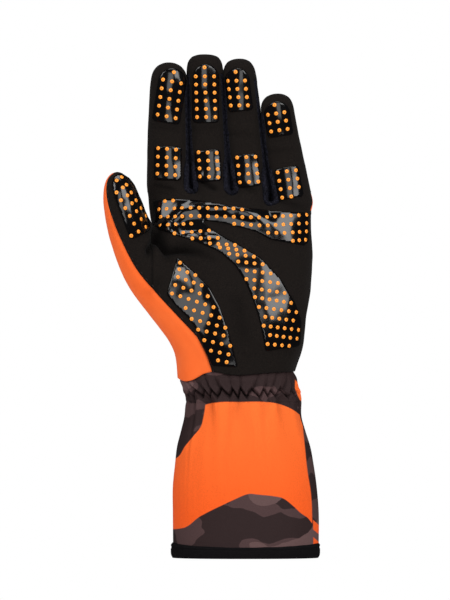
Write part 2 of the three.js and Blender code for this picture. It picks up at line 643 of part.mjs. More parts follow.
// Rounded section of the wrist or the cuff. It starts at the thumb side and runs along the front.
function trunkRing(size, count, relief, level) {
  const ring = [];
  for (let k = 0; k < count; k++) {
    const angle = Math.PI + (2 * Math.PI * k) / count;
    const [c, s] = [Math.cos(angle), Math.sin(angle)];
    const bend = 2 / fullness;
    const swell = relief(k);
    const wide = Math.sign(c) * Math.abs(c) ** bend;
    const deep = Math.sign(s) * Math.abs(s) ** bend;
    ring.push(
      new THREE.Vector3(
        (size.left + size.right) / 2 + wide * ((size.right - size.left) / 2 + swell),
        deep * ((deep < 0 ? size.front : size.back) + swell),
        level((wide + 1) / 2),
      ),
    );
  }
  return ring;
}

function sleeveSize(up) {
  const depth = read(sleeveRows, "up", up, "depth") * cuffDepth;
  return {
    left: read(sleeveRows, "up", up, "left") * cuffWidth,
    right: read(sleeveRows, "up", up, "right") * cuffWidth,
    front: depth,
    back: depth,
  };
}

// Gathers: folds that change sides at the elastic, so their edges meet in a zigzag
const gatherSides = 72;
const foldSteps = 4; // points from one crest to the next
function gatherRing(row, depth) {
  const below = sleeveSize(1);
  const palm = palmRows[0];
  const above = {
    left: palm.left * palmBreadth, right: palm.right * palmBreadth,
    front: palm.front * wristDepth, back: palm.back * wristDepth,
  };
  const size = Object.fromEntries(Object.keys(below).map((key) => [key, mix(below[key], above[key], row.up)]));
  const wave = (k) => row.side * row.fold * foldDepth * 0.5 * Math.cos((2 * Math.PI * k) / foldSteps);
  const base = -row.pinch * elasticPinch - 0.5 * foldDepth * row.fold - depth;
  const level = (share) => {
    const edge = wristLevel + read(edgeRows, "across", share, "wrist") * palmLength - 2 * seamGap;
    return mix(gatherLevel + seamGap, edge, row.up);
  };
  return trunkRing(size, gatherSides, (k) => base + wave(k) * (depth ? 0.6 : 1), level);
}
addMesh(
  "wrist_gather",
  tube(gatherRows.map((row) => gatherRing(row, 0)), gatherRows.map((row) => gatherRing(row, sleeveWall))),
  camoCloth,
);

// The sleeve's pleats die away downwards from the gathers
const sleeveSides = 40;
const sleeveSteps = [0, 0.22, 0.42, 0.6, 0.75, 0.88, 1];
function sleeveRing(up, depth) {
  const fade = THREE.MathUtils.smoothstep(up, 0.45, 1);
  const wave = (k) => 0.35 * foldDepth * fade * (Math.cos(Math.PI * k) - 1);
  return trunkRing(sleeveSize(up), sleeveSides, (k) => wave(k) - depth, () => mix(sleeveLevel, gatherLevel, up));
}
addMesh(
  "cuff_sleeve",
  tube(sleeveSteps.map((up) => sleeveRing(up, 0)), sleeveSteps.map((up) => sleeveRing(up, sleeveWall))),
  camoCloth,
);

// The hem is a folded band with round edges
const hemRows = [
  { up: 0, out: -0.8 },
  { up: 0.16, out: 0 },
  { up: 0.6, out: 0.15 },
  { up: 1, out: -0.4 },
];
const hemRing = (row) => trunkRing(sleeveSize(0), sleeveSides, () => row.out, () => row.up * hemHeight);
const hemBore = hemRows.map((row) => ({ up: row.up, out: -hemWall }));
addMesh("hem_band", tube(hemRows.map(hemRing), hemBore.map(hemRing)), hemKnit);

export default glove;
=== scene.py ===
import math
import bpy
import numpy as np
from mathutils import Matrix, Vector, noise
from mathutils.bvhtree import BVHTree
from mathutils.geometry import delaunay_2d_cdt
from mathutils.kdtree import KDTree


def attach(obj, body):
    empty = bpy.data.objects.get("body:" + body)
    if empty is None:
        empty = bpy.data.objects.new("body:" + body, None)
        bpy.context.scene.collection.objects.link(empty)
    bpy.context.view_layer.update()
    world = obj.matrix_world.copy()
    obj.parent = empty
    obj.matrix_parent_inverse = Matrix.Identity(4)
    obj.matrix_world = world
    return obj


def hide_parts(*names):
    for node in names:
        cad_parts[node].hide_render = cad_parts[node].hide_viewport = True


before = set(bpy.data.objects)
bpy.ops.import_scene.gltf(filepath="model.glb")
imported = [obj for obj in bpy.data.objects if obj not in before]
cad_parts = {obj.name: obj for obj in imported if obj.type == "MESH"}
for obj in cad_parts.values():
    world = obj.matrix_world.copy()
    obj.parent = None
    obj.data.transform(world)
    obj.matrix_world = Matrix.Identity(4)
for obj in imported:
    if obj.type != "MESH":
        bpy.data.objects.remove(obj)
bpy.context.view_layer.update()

# A left karting glove, filled out as when worn. Metres, +Z to the fingertips, palm to -Y, thumb to -X.
size = dict(
    hemHeight=0.0085, sleeveHeight=0.0835, gatherHeight=0.017, palmLength=0.103,
    cuffWidth=0.0864, cuffDepth=0.066, wristDepth=0.050, palmBreadth=0.097,
    fingerSwell=0.0007, edgeSwell=0.0001, wall=0.0013,
)
gatherLevel = size["hemHeight"] + size["sleeveHeight"]
wristLevel = gatherLevel + size["gatherHeight"]
rootLevel = wristLevel + size["palmLength"]
breadth, depthScale, palmLength = size["palmBreadth"], size["wristDepth"], size["palmLength"]


def rows(columns, *lines):
    return [dict(zip(columns.split(), line)) for line in lines]


def mix(a, b, t):
    return a + (b - a) * t


def smooth(a, b, v):
    t = np.clip((v - a) / (b - a), 0, 1)
    return t * t * (3 - 2 * t)


def bell(offset, width):
    return np.exp(-((offset / width) ** 2))


def linked(name, data):
    made = bpy.data.objects.new(name, data)
    bpy.context.scene.collection.objects.link(made)
    return made


def read(table, key, at, column):
    place = min(max(at, table[0][key]), table[-1][key])
    i = max(n for n, row in enumerate(table[:-1]) if row[key] <= place)

    def slope(k):
        a, b = table[max(k - 1, 0)], table[min(k + 1, len(table) - 1)]
        return (b[column] - a[column]) / (b[key] - a[key])

    step = table[i + 1][key] - table[i][key]
    t = (place - table[i][key]) / step
    return (
        (2 * t**3 - 3 * t**2 + 1) * table[i][column] + (t**3 - 2 * t**2 + t) * slope(i) * step
        + (3 * t**2 - 2 * t**3) * table[i + 1][column] + (t**3 - t**2) * slope(i + 1) * step
    )


# Sections as shares of the named sizes: the palm, its two edges, the fingers and the thumb
palmRows = rows(
    "up left right front back seam rim",
    (0.0, -0.417, 0.301, 0.44, 0.46, 0.055, 0.17), (0.075, -0.423, 0.324, 0.46, 0.45, 0.03, 0.17),
    (0.15, -0.431, 0.352, 0.48, 0.44, 0, 0.1), (0.26, -0.45, 0.378, 0.49, 0.42, 0, -0.33),
    (0.37, -0.474, 0.392, 0.48, 0.4, 0, -0.34), (0.48, -0.5, 0.4, 0.45, 0.385, 0, 0.05),
    (0.59, -0.525, 0.405, 0.42, 0.37, 0, 0.17), (0.7, -0.55, 0.415, 0.385, 0.355, 0, 0.17),
    (0.825, -0.575, 0.405, 0.355, 0.34, 0, 0.17), (0.895, -0.585, 0.4, 0.335, 0.325, 0, 0.1),
    (0.95, -0.592, 0.403, 0.31, 0.31, 0, 0.0), (1.0, -0.593, 0.404, 0.27, 0.28, 0, 0.1),
)
edgeRows = rows(
    "across wrist root",
    (0.0, -0.025, 0.012), (0.09, -0.06, 0.02), (0.25, 0.006, 0.028),
    (0.5, -0.012, 0.023), (0.75, 0.0, -0.045), (1.0, 0.01, -0.07),
)
fingers = rows(
    "name length rootX midX tipX rootHalf midHalf tipHalf rootDepth tipDepth curl cap blunt",
    ("index", 0.7757, -0.463, -0.469, -0.466, 0.137, 0.1258, 0.1134, 0.235, 0.18, 0.17, 0.16, 2.3),
    ("middle", 0.8223, -0.2026, -0.2294, -0.2455, 0.1232, 0.1129, 0.1082, 0.235, 0.18, 0.15, 0.12, 2.9),
    ("ring", 0.7971, 0.0387, -0.0057, -0.036, 0.118, 0.1108, 0.099, 0.23, 0.175, 0.16, 0.13, 2.5),
    ("little", 0.596, 0.282, 0.233, 0.1974, 0.1253, 0.1144, 0.0995, 0.22, 0.165, 0.17, 0.17, 2.4),
)
for finger in fingers:
    finger["length"] *= palmLength
fingerRows = rows(
    "way open",
    (0.055, 0.36), (0.14, 0.34), (0.28, 0.2), (0.42, 0.14), (0.6, 0.13), (0.8, 0.13), (1.0, 0.13),
)
thumbRows = rows(
    "outerX outerZ innerX innerZ depth forward seam",
    (-0.49, 0.222, -0.535, 0.825, 0.37, 0.12, 112), (-0.58, 0.322, -0.567, 0.852, 0.345, 0.16, 112),
    (-0.662, 0.42, -0.585, 0.876, 0.32, 0.22, 113), (-0.73, 0.523, -0.601, 0.912, 0.3, 0.28, 115),
    (-0.786, 0.652, -0.619, 0.966, 0.28, 0.34, 119), (-0.833, 0.786, -0.643, 1.02, 0.26, 0.385, 126),
    (-0.856, 0.914, -0.675, 1.068, 0.235, 0.42, 134), (-0.864, 1.02, -0.705, 1.108, 0.19, 0.44, 142),
    (-0.848, 1.105, -0.742, 1.138, 0.12, 0.455, 148),
)
thumbTip = dict(x=-0.795, z=1.158, forward=0.46)


# The camera stands far off on the palm side and looks level, as the photograph does
view = dict(target=(-0.01205, 0, 0.1520), frameHeight=0.3540, lens=600, sensor=36, aspect=0.75)
camera = bpy.data.cameras.new("camera")
camera.lens = view["lens"]
camera.sensor_fit = "VERTICAL"
camera.sensor_height = view["sensor"]
camera.sensor_width = view["sensor"] * view["aspect"]
distance = view["frameHeight"] * view["lens"] / view["sensor"]
cameraObject = linked("camera", camera)
cameraObject.location = Vector(view["target"]) + Vector((0, -distance, 0))
cameraObject.rotation_euler = (math.radians(90), 0, 0)
camera.clip_end = 20
bpy.context.scene.camera = cameraObject
bpy.context.scene.view_settings.view_transform = "Standard"


def hexColor(code):
    channels = [int(code[i:i + 2], 16) / 255 for i in (0, 2, 4)]
    return [c / 12.92 if c <= 0.04045 else ((c + 0.055) / 1.055) ** 2.4 for c in channels] + [1]


def addNode(tree, kind, inputs=None, **settings):
    # Adds a node, or sets one that is there; an input is a value, a socket or a node's first output
    node = tree.nodes.new(kind) if isinstance(kind, str) else kind
    for key, value in settings.items():
        setattr(node, key, value)
    for key, value in (inputs or {}).items():
        if isinstance(value, bpy.types.Node):
            value = value.outputs[0]
        if isinstance(value, bpy.types.NodeSocket):
            tree.links.new(value, node.inputs[key])
        else:
            node.inputs[key].default_value = value
    return node


def newMaterial(name):
    material = bpy.data.materials.new(name)
    material.use_nodes = True
    tree = material.node_tree
    shader = tree.nodes["Principled BSDF"]
    place = tree.nodes.new("ShaderNodeTexCoord").outputs["Object"]
    return material, tree, shader, place


def paintedFoldShade(tree, color, least):
    # painted shade: the colour is darkened in the valleys of folds, creases and seams, from the attribute
    # deep that the folded meshes carry
    deep = addNode(tree, "ShaderNodeAttribute", attribute_name="deep").outputs["Fac"]
    value = addNode(tree, "ShaderNodeMapRange", {"Value": deep, "To Min": 1.0, "To Max": least})
    return addNode(tree, "ShaderNodeHueSaturation", {"Color": color, "Value": value})


def suedeMaterial():
    # brushed microfibre: a short dull nap, no gloss
    material, tree, shader, place = newMaterial("black_suede")
    nap = addNode(tree, "ShaderNodeTexNoise",
                  {"Vector": place, "Scale": 1600, "Detail": 4, "Roughness": 0.55})
    patches = addNode(tree, "ShaderNodeTexNoise",
                      {"Vector": place, "Scale": 90, "Detail": 3, "Roughness": 0.55})
    raised = addNode(tree, "ShaderNodeMapRange", {"Value": nap, "From Min": 0.35, "From Max": 0.7})
    worn = addNode(tree, "ShaderNodeMapRange", {"Value": patches, "From Min": 0.4, "From Max": 0.75})
    fibre = addNode(tree, "ShaderNodeMix", {0: raised, 6: hexColor("0f0c0b"), 7: hexColor("1d1815")},
                    data_type="RGBA")
    color = addNode(tree, "ShaderNodeMix", {0: worn, 6: fibre.outputs[2], 7: hexColor("161210")},
                    data_type="RGBA")
    # the suede's colour gets painted shade in fold valleys, creases and seams
    addNode(tree, shader, {
        "Base Color": paintedFoldShade(tree, color.outputs[2], 0.35),
        "Normal": addNode(tree, "ShaderNodeBump", {"Height": nap, "Distance": 0.0003, "Strength": 0.35}),
        "Roughness": 0.95, "Specular IOR Level": 0.08, "Sheen Weight": 0.02})
    return material


def knitRelief(tree, place, pitch, strength):
    # Wave bands repeat every 0.3142 at scale 1, so this gives one rib and one course each pitch
    bands = {"Vector": place, "Scale": 0.3142 / pitch, "Distortion": 1.5, "Detail": 2.0, "Detail Scale": 60.0}
    ribs = addNode(tree, "ShaderNodeTexWave", bands, bands_direction="Z").outputs["Fac"]
    courses = addNode(tree, "ShaderNodeTexWave", bands, bands_direction="X").outputs["Fac"]
    loops = addNode(tree, "ShaderNodeMath", {0: ribs, 1: courses}, operation="ADD")
    return loops, addNode(tree, "ShaderNodeBump",
                          {"Height": loops, "Distance": pitch / 4, "Strength": strength})


def orangeMaterial():
    # fine polyester knit: matt, even colour, with painted shade in the knit's hollows and the fold valleys
    material, tree, shader, place = newMaterial("orange_stretch_knit")
    loops, normal = knitRelief(tree, place, 0.0006, 0.35)
    tone = addNode(tree, "ShaderNodeTexNoise", {"Vector": place, "Scale": 60, "Detail": 3, "Roughness": 0.55})
    pale = addNode(tree, "ShaderNodeMapRange", {"Value": tone, "From Min": 0.35, "From Max": 0.7})
    # painted shade: the low parts of the knit loops are coloured darker
    knitHollowShade = addNode(tree, "ShaderNodeMapRange", {"Value": loops, "From Min": 0.2, "From Max": 1.6})
    dyed = addNode(tree, "ShaderNodeMix", {0: pale, 6: hexColor("ec6729"), 7: hexColor("f27234")},
                   data_type="RGBA")
    color = addNode(tree, "ShaderNodeMix", {0: knitHollowShade, 6: hexColor("e55c22"), 7: dyed.outputs[2]},
                    data_type="RGBA")
    # the colour gets painted shade in fold valleys and along seams
    addNode(tree, shader, {"Base Color": paintedFoldShade(tree, color.outputs[2], 0.6), "Normal": normal,
                           "Roughness": 0.8, "Specular IOR Level": 0.15, "Sheen Weight": 0.03})
    return material


camo = dict(dark="2d2020", middle="483535", light="5c4645", stretch=(16, 16, 30), ragged=0.05,
            layers=[((0, 0, 0), 1.6, 0.6), ((7.3, 2.1, 4.7), 2.1, 0.56)])


def camoColor(tree, place):
    spot = addNode(tree, "ShaderNodeMapping", {"Vector": place, "Location": (0.35, 0.2, 0.35),
                                                 "Rotation": (0, 0.6, 0), "Scale": camo["stretch"]})
    bent = addNode(tree, "ShaderNodeTexNoise",
                   {"Vector": place, "Scale": 160, "Detail": 2, "Roughness": 0.55})
    bent = addNode(tree, "ShaderNodeMath", {0: bent, 1: camo["ragged"]}, operation="MULTIPLY")
    shares = []
    for offset, scale, least in camo["layers"]:
        moved = addNode(tree, "ShaderNodeVectorMath", {0: spot, 1: offset})
        blobs = addNode(tree, "ShaderNodeTexNoise",
                        {"Vector": moved, "Scale": scale, "Detail": 1.5, "Roughness": 0.45})
        blobs = addNode(tree, "ShaderNodeMath", {0: blobs, 1: bent}, operation="ADD")
        shares.append(addNode(tree, "ShaderNodeMapRange",
                              {"Value": blobs, "From Min": least, "From Max": least + 0.005}))
    color = addNode(tree, "ShaderNodeMix",
                    {0: shares[1], 6: hexColor(camo["dark"]), 7: hexColor(camo["middle"])},
                    data_type="RGBA")
    return addNode(tree, "ShaderNodeMix", {0: shares[0], 6: color.outputs[2], 7: hexColor(camo["light"])},
                   data_type="RGBA").outputs[2]


def clothFinish(tree, shader, place, color):
    normal = knitRelief(tree, place, 0.0006, 0.3)[1]
    speckle = addNode(tree, "ShaderNodeTexNoise",
                      {"Vector": place, "Scale": 1400, "Detail": 2, "Roughness": 0.55})
    bright = addNode(tree, "ShaderNodeMapRange", {"Value": speckle, "From Min": -2.0, "From Max": 0.6})
    shade = addNode(tree, "ShaderNodeHueSaturation", {"Color": color, "Value": bright})
    # the colour gets painted shade in the valleys of the folds
    addNode(tree, shader, {"Base Color": paintedFoldShade(tree, shade, 0.22), "Normal": normal,
                           "Roughness": 0.75, "Specular IOR Level": 0.13})


def camoMaterial():
    # printed polyester: matt, dark tones
    material, tree, shader, place = newMaterial("camo_stretch_cloth")
    clothFinish(tree, shader, place, camoColor(tree, place))
    return material


# Where the sleeve is printed plain orange: two side lines that run down, an upper and a lower edge across
orangeArea = dict(
    left=[(0.0, -0.06), (0.0560, -0.06), (0.0585, -0.0413), (0.0667, -0.0350), (0.0721, -0.0305),
          (0.0777, -0.0262), (0.0828, -0.0248), (0.0904, -0.0236), (0.1, -0.0232)],
    right=[(0.0, 0.0394), (0.0199, 0.0393), (0.0373, 0.0386), (0.0520, 0.0364), (0.0655, 0.0350),
           (0.0756, 0.0340), (0.0839, 0.0334), (0.0900, 0.0328), (0.0950, 0.0306), (0.1, 0.0287)],
    top=[(-0.06, 0.085), (-0.0280, 0.0880), (-0.0234, 0.0904), (-0.0170, 0.0918), (-0.0040, 0.0921),
         (0.0146, 0.0918), (0.0210, 0.0904), (0.0280, 0.0873), (0.0325, 0.0839), (0.0400, 0.0770),
         (0.06, 0.06)],
    bottom=[(-0.06, 0.0176), (-0.0365, 0.0180), (-0.0338, 0.0193), (-0.0275, 0.0244), (-0.0233, 0.0268),
            (-0.0143, 0.0313), (-0.0053, 0.0355), (-0.0005, 0.0376), (0.0025, 0.0383), (0.0067, 0.0379),
            (0.0193, 0.0364), (0.0216, 0.0358), (0.0277, 0.0313), (0.0325, 0.0268), (0.0367, 0.0238),
            (0.0391, 0.0208), (0.06, 0.004)],
    # color: the lower and the upper orange of a painted light gradient, darker at the foot and lighter at the
    # top
    crisp=0.00025, stripes=[(0.0175, 0.0235), (0.0075, 0.0135), (0.0866, 0.0964)], color=("e9571a", "f06b2b"),
    seamLeft=0.0095, seamRight=-0.006, seamStripes=0.004, slope=0.9, drop=-0.0351,
)


def sleeveMaterial():
    # stretch cloth, orange printed over camo
    material, tree, shader, place = newMaterial("printed_sleeve_cloth")
    x, y, z = addNode(tree, "ShaderNodeSeparateXYZ", {0: place}).outputs
    crisp = orangeArea["crisp"]
    seam = addNode(tree, "ShaderNodeMapRange",
                   {"Value": x, "From Min": -0.001, "From Max": 0.001,
                    "To Min": orangeArea["seamLeft"], "To Max": orangeArea["seamRight"]})
    ahead = addNode(tree, "ShaderNodeMath", {0: seam, 1: y}, operation="SUBTRACT")
    mask = addNode(tree, "ShaderNodeMapRange", {"Value": ahead, "From Min": 0.0, "From Max": 2 * crisp})
    for name, sign in (("left", 1), ("right", -1), ("bottom", 1), ("top", -1)):
        upright = name in ("left", "right")
        along, across = (z, x) if upright else (x, z)
        low, high, least, most = (0, 0.1, -0.06, 0.06) if upright else (-0.06, 0.06, 0, 0.1)
        share = addNode(tree, "ShaderNodeMapRange", {"Value": along, "From Min": low, "From Max": high})
        drawn = addNode(tree, "ShaderNodeFloatCurve", {"Value": share})
        line = drawn.mapping.curves[0]
        while len(line.points) < len(orangeArea[name]):
            line.points.new(0.5, 0.5)
        for point, (at, out) in zip(line.points, orangeArea[name]):
            point.location = ((at - low) / (high - low), (out - least) / (most - least))
            point.handle_type = "AUTO"
        drawn.mapping.update()
        edge = addNode(tree, "ShaderNodeMapRange", {"Value": drawn, "To Min": least, "To Max": most})
        past = addNode(tree, "ShaderNodeMath", {0: across, 1: edge}, operation="SUBTRACT")
        inside = addNode(tree, "ShaderNodeMapRange",
                         {"Value": past, "From Min": -sign * crisp, "From Max": sign * crisp})
        mask = addNode(tree, "ShaderNodeMath", {0: mask, 1: inside}, operation="MULTIPLY")
        if name == "right":  # past this seam lies the side panel
            side = addNode(tree, "ShaderNodeMapRange",
                           {"Value": past, "From Min": crisp, "From Max": 3 * crisp})
    # the side panel has slanting orange shapes of its own
    beside = addNode(tree, "ShaderNodeMapRange", {"Value": y, "From Min": orangeArea["seamStripes"],
                                                  "From Max": orangeArea["seamStripes"] - 2 * crisp})
    fall = addNode(tree, "ShaderNodeMath", {0: x, 1: orangeArea["slope"], 2: orangeArea["drop"]},
                   operation="MULTIPLY_ADD")
    slant = addNode(tree, "ShaderNodeMath", {0: z, 1: fall}, operation="ADD")
    side = addNode(tree, "ShaderNodeMath", {0: side, 1: beside}, operation="MULTIPLY")
    for low, high in orangeArea["stripes"]:
        above = addNode(tree, "ShaderNodeMapRange",
                        {"Value": slant, "From Min": low, "From Max": low + 2 * crisp})
        below = addNode(tree, "ShaderNodeMapRange",
                        {"Value": slant, "From Min": high, "From Max": high - 2 * crisp})
        stripe = addNode(tree, "ShaderNodeMath", {0: above, 1: below}, operation="MULTIPLY")
        stripe = addNode(tree, "ShaderNodeMath", {0: stripe, 1: side}, operation="MULTIPLY")
        mask = addNode(tree, "ShaderNodeMath", {0: mask, 1: stripe}, operation="MAXIMUM")
    lower, upper = orangeArea["color"]
    # painted light: the orange is made darker towards the bottom and lighter towards the top
    height = addNode(tree, "ShaderNodeMapRange", {"Value": z, "From Min": 0.025, "From Max": 0.092})
    orange = addNode(tree, "ShaderNodeMix", {0: height, 6: hexColor(lower), 7: hexColor(upper)},
                     data_type="RGBA")
    color = addNode(tree, "ShaderNodeMix", {0: mask, 6: camoColor(tree, place), 7: orange.outputs[2]},
                    data_type="RGBA")
    clothFinish(tree, shader, place, color.outputs[2])
    return material


knits = dict(
    # elastic knit between the fingers: slanting ribs, no gloss
    navy_rib_knit=dict(frizz=40.0, way="DIAGONAL", grain=900, spread=(0.35, 0.65),
                       colors=("08080c", "262632"),
                       ribHeight=0.0006, ribStrength=0.9, fuzzHeight=0.0008, fuzzStrength=0.8,
                       roughness=0.9, specular=0.1),
    # folded jersey binding: flat black
    black_hem_knit=dict(frizz=50.0, way="Z", grain=1100, spread=(0.0, 1.0), colors=("080708", "131113"),
                        ribHeight=0.0002, ribStrength=0.4, fuzzHeight=0.0003, fuzzStrength=0.3,
                        roughness=0.92, specular=0.08),
)


def knitMaterial(name):
    knit = knits[name]
    material, tree, shader, place = newMaterial(name)
    bands = {"Vector": place, "Scale": 260.0, "Distortion": 3.0, "Detail": 2.0, "Detail Scale": knit["frizz"]}
    ribs = addNode(tree, "ShaderNodeTexWave", bands, bands_direction=knit["way"]).outputs["Fac"]
    fuzz = addNode(tree, "ShaderNodeTexNoise",
                   {"Vector": place, "Scale": knit["grain"], "Detail": 3, "Roughness": 0.55})
    least, most = knit["spread"]
    pale = addNode(tree, "ShaderNodeMapRange", {"Value": fuzz, "From Min": least, "From Max": most})
    dark, light = knit["colors"]
    color = addNode(tree, "ShaderNodeMix", {0: pale, 6: hexColor(dark), 7: hexColor(light)}, data_type="RGBA")
    ribbed = addNode(tree, "ShaderNodeBump",
                     {"Height": ribs, "Distance": knit["ribHeight"], "Strength": knit["ribStrength"]})
    rough = addNode(tree, "ShaderNodeBump",
                    {"Height": fuzz, "Distance": knit["fuzzHeight"], "Strength": knit["fuzzStrength"],
                     "Normal": ribbed})
    addNode(tree, shader, {"Base Color": color.outputs[2], "Normal": rough,
                           "Roughness": knit["roughness"], "Specular IOR Level": knit["specular"]})
    return material


def rubberMaterial():
    # silicone print: a wavy, wet-looking gloss
    material, tree, shader, place = newMaterial("black_silicone_film")
    waves = addNode(tree, "ShaderNodeTexNoise", {"Vector": place, "Scale": 42, "Detail": 1, "Roughness": 0.4})
    addNode(tree, shader, {
        "Normal": addNode(tree, "ShaderNodeBump", {"Height": waves, "Distance": 0.0050, "Strength": 0.45}),
        "Base Color": hexColor("070607"), "Roughness": 0.13, "Specular IOR Level": 0.48})
    return material


def dotMaterial():
    # raised print: pale ring, dark middle
    material, tree, shader, _ = newMaterial("orange_silicone_dot")
    reach = addNode(tree, "ShaderNodeAttribute", attribute_name="reach").outputs["Fac"]
    ring = addNode(tree, "ShaderNodeMapRange", {"Value": reach, "From Min": 0.28, "From Max": 0.42})
    rim = addNode(tree, "ShaderNodeMapRange", {"Value": reach, "From Min": 0.8, "From Max": 1.0})
    color = addNode(tree, "ShaderNodeMix", {0: ring, 6: hexColor("b4540c"), 7: hexColor("ffa02e")},
                    data_type="RGBA")
    color = addNode(tree, "ShaderNodeMix", {0: rim, 6: color.outputs[2], 7: hexColor("e8831a")},
                    data_type="RGBA")
    addNode(tree, shader, {"Base Color": color.outputs[2], "Roughness": 0.45})
    return material


def threadMaterial():
    # twisted polyester: a slight lustre
    material, tree, shader, place = newMaterial("black_sewing_thread")
    twist = addNode(tree, "ShaderNodeTexNoise",
                    {"Vector": place, "Scale": 3000, "Detail": 1, "Roughness": 0.55})
    color = addNode(tree, "ShaderNodeMix", {0: twist, 6: hexColor("0e0d0e"), 7: hexColor("1c1a1b")},
                    data_type="RGBA")
    addNode(tree, shader, {"Base Color": color.outputs[2], "Roughness": 0.6})
    return material


look = dict(
    suede=suedeMaterial(), orange=orangeMaterial(), camo=camoMaterial(), sleeve=sleeveMaterial(),
    navy=knitMaterial("navy_rib_knit"), rubber=rubberMaterial(), dot=dotMaterial(),
    hem=knitMaterial("black_hem_knit"), thread=threadMaterial(),
)
print("materials", len(look))


def newObject(name, mesh, material):
    mesh.materials.clear()
    mesh.materials.append(material)
    mesh.polygons.foreach_set("use_smooth", [True] * len(mesh.polygons))
    mesh.update()
    return linked(name, mesh)


def addPiece(name, node, places, made, material, deep=None):
    # A visible piece in the place of one node of the solids
    mesh = bpy.data.meshes.new(name)
    mesh.from_pydata(places.tolist(), [], made)
    # deep holds the painted shade of fold valleys, creases and seams
    if deep is not None:
        mesh.attributes.new("deep", "FLOAT", "POINT").data.foreach_set("value", deep.astype(np.float32))
    piece = newObject(name, mesh, material)
    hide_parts(node)
    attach(piece, "root")


def baked(source):
    # The mesh that the modifiers give; the source itself is taken away
    graph = bpy.context.evaluated_depsgraph_get()
    mesh = bpy.data.meshes.new_from_object(source.evaluated_get(graph))
    bpy.data.objects.remove(source)
    return mesh


def closed(outer, inner, corners):
    # A sheet and its inner copy, joined round every open edge
    count, rim = len(outer), {}
    for a, b in zip(corners.ravel().tolist(), np.roll(corners, -1, axis=1).ravel().tolist()):
        if rim.pop((b, a), None) is None:
            rim[(a, b)] = True
    made = corners.tolist() + (corners[:, ::-1] + count).tolist()
    made += [[b, a, a + count, b + count] for a, b in rim]
    return np.vstack((outer, inner)), made


# The hand's skin is a sheet of four-sided faces, each with the name of its sewn piece
points, faces, labels = [], [], []
fullness = 2.3
columns, sideSteps = 16, 3
crotchColumns = (4, 8, 12)
fingerRingSize = 14
ringSize = 2 * (columns + sideSteps)
backStart = columns + sideSteps
edgeShare = 0.9
rootShares = (0, 0.267, 0.515, 0.752, 1)
thumbFront, thumbBottom, thumbTop = 3, 2, 8


def addPoint(x, y, z):
    points.append(Vector((x, y, z)))
    return len(points) - 1


def addFace(label, *corners):
    faces.append(corners)
    labels.append(label)


def companion(share):
    return max(1 - min(abs(share), 1) ** fullness, 0) ** (1 / fullness)


def behind(column):
    return backStart + columns - column


def columnShare(column):
    finger = min(column // 4, 3)
    return mix(rootShares[finger], rootShares[finger + 1], column / 4 - finger)


def palmRing(row):
    left, right = row["left"] * breadth, row["right"] * breadth
    middle, half = (left + right) / 2, (right - left) / 2

    def level(share):
        bottom = wristLevel + read(edgeRows, "across", share, "wrist") * palmLength
        top = rootLevel + read(edgeRows, "across", share, "root") * palmLength
        return mix(bottom, top, row["up"])

    def surface(share, depth):
        wide = (2 * share - 1) * edgeShare
        x = middle + wide * half + row["seam"] * breadth * max(0, 1 - abs(share * columns - 3) / 3)
        return addPoint(x, depth * depthScale * companion(wide), level((x - left) / (right - left)))

    def side(sign, stepNumber):
        edge = companion(edgeShare)
        turn = mix(-edge, edge, stepNumber / sideSteps)
        if sign > 0:
            turn = row["rim"] if stepNumber > 1 else (row["rim"] - edge) / 2
        y = turn * (row["front"] if turn < 0 else row["back"])
        return addPoint(middle + sign * half * companion(turn), y * depthScale, level((sign + 1) / 2))

    ring = [surface(columnShare(c), -row["front"]) for c in range(columns + 1)]
    ring += [side(1, s) for s in range(1, sideSteps)]
    ring += [surface(columnShare(c), row["back"]) for c in range(columns, -1, -1)]
    ring += [side(-1, s) for s in range(sideSteps - 1, 0, -1)]
    inset = float(smooth(0.9, 1, row["up"]))
    for c in crotchColumns:
        points[ring[c]].y *= 1 - 0.45 * inset
        points[ring[behind(c)]].y *= 1 - 0.3 * inset
    return ring


palmRings = [palmRing(row) for row in palmRows]


def palmPiece(r, k):
    below = r < thumbBottom
    if k < thumbFront and below:
        return "thumb_side_panel"
    if k < columns + 2:
        return "palm_panel"
    if k < backStart + columns:
        return "back_panel"
    if below:
        return "thumb_side_panel"
    return "palm_panel" if k > backStart + columns else "back_panel"


for r in range(len(palmRings) - 1):
    for k in range(ringSize):
        if thumbBottom <= r < thumbTop and (k < thumbFront or k >= backStart + columns):
            continue
        n = (k + 1) % ringSize
        addFace(palmPiece(r, k), palmRings[r][k], palmRings[r][n], palmRings[r + 1][n], palmRings[r + 1][k])

topRing = palmRings[-1]
crotches = []
for c in crotchColumns:
    front, rear = points[topRing[c]], points[topRing[behind(c)]]
    inner = [addPoint(*front.lerp(rear, share)) for share in (1 / 3, 2 / 3)]
    crotches.append([topRing[c], *inner, topRing[behind(c)]])


def throughThree(a, b, c, t):
    return a * (1 - t) * (1 - 2 * t) + b * 4 * t * (1 - t) + c * t * (2 * t - 1)


def fingerAt(finger, share):
    t = min(share / (1 - finger["cap"]), 1.05)
    half = throughThree(finger["rootHalf"], finger["midHalf"], finger["tipHalf"], min(t, 1))
    return dict(
        x=throughThree(finger["rootX"], finger["midX"], finger["tipX"], t) * breadth,
        half=half * breadth,
        depth=mix(finger["rootDepth"], finger["tipDepth"], min(t, 1)) * depthScale,
        y=-finger["curl"] * share * share * depthScale,
        z=rootLevel + share * finger["length"],
    )


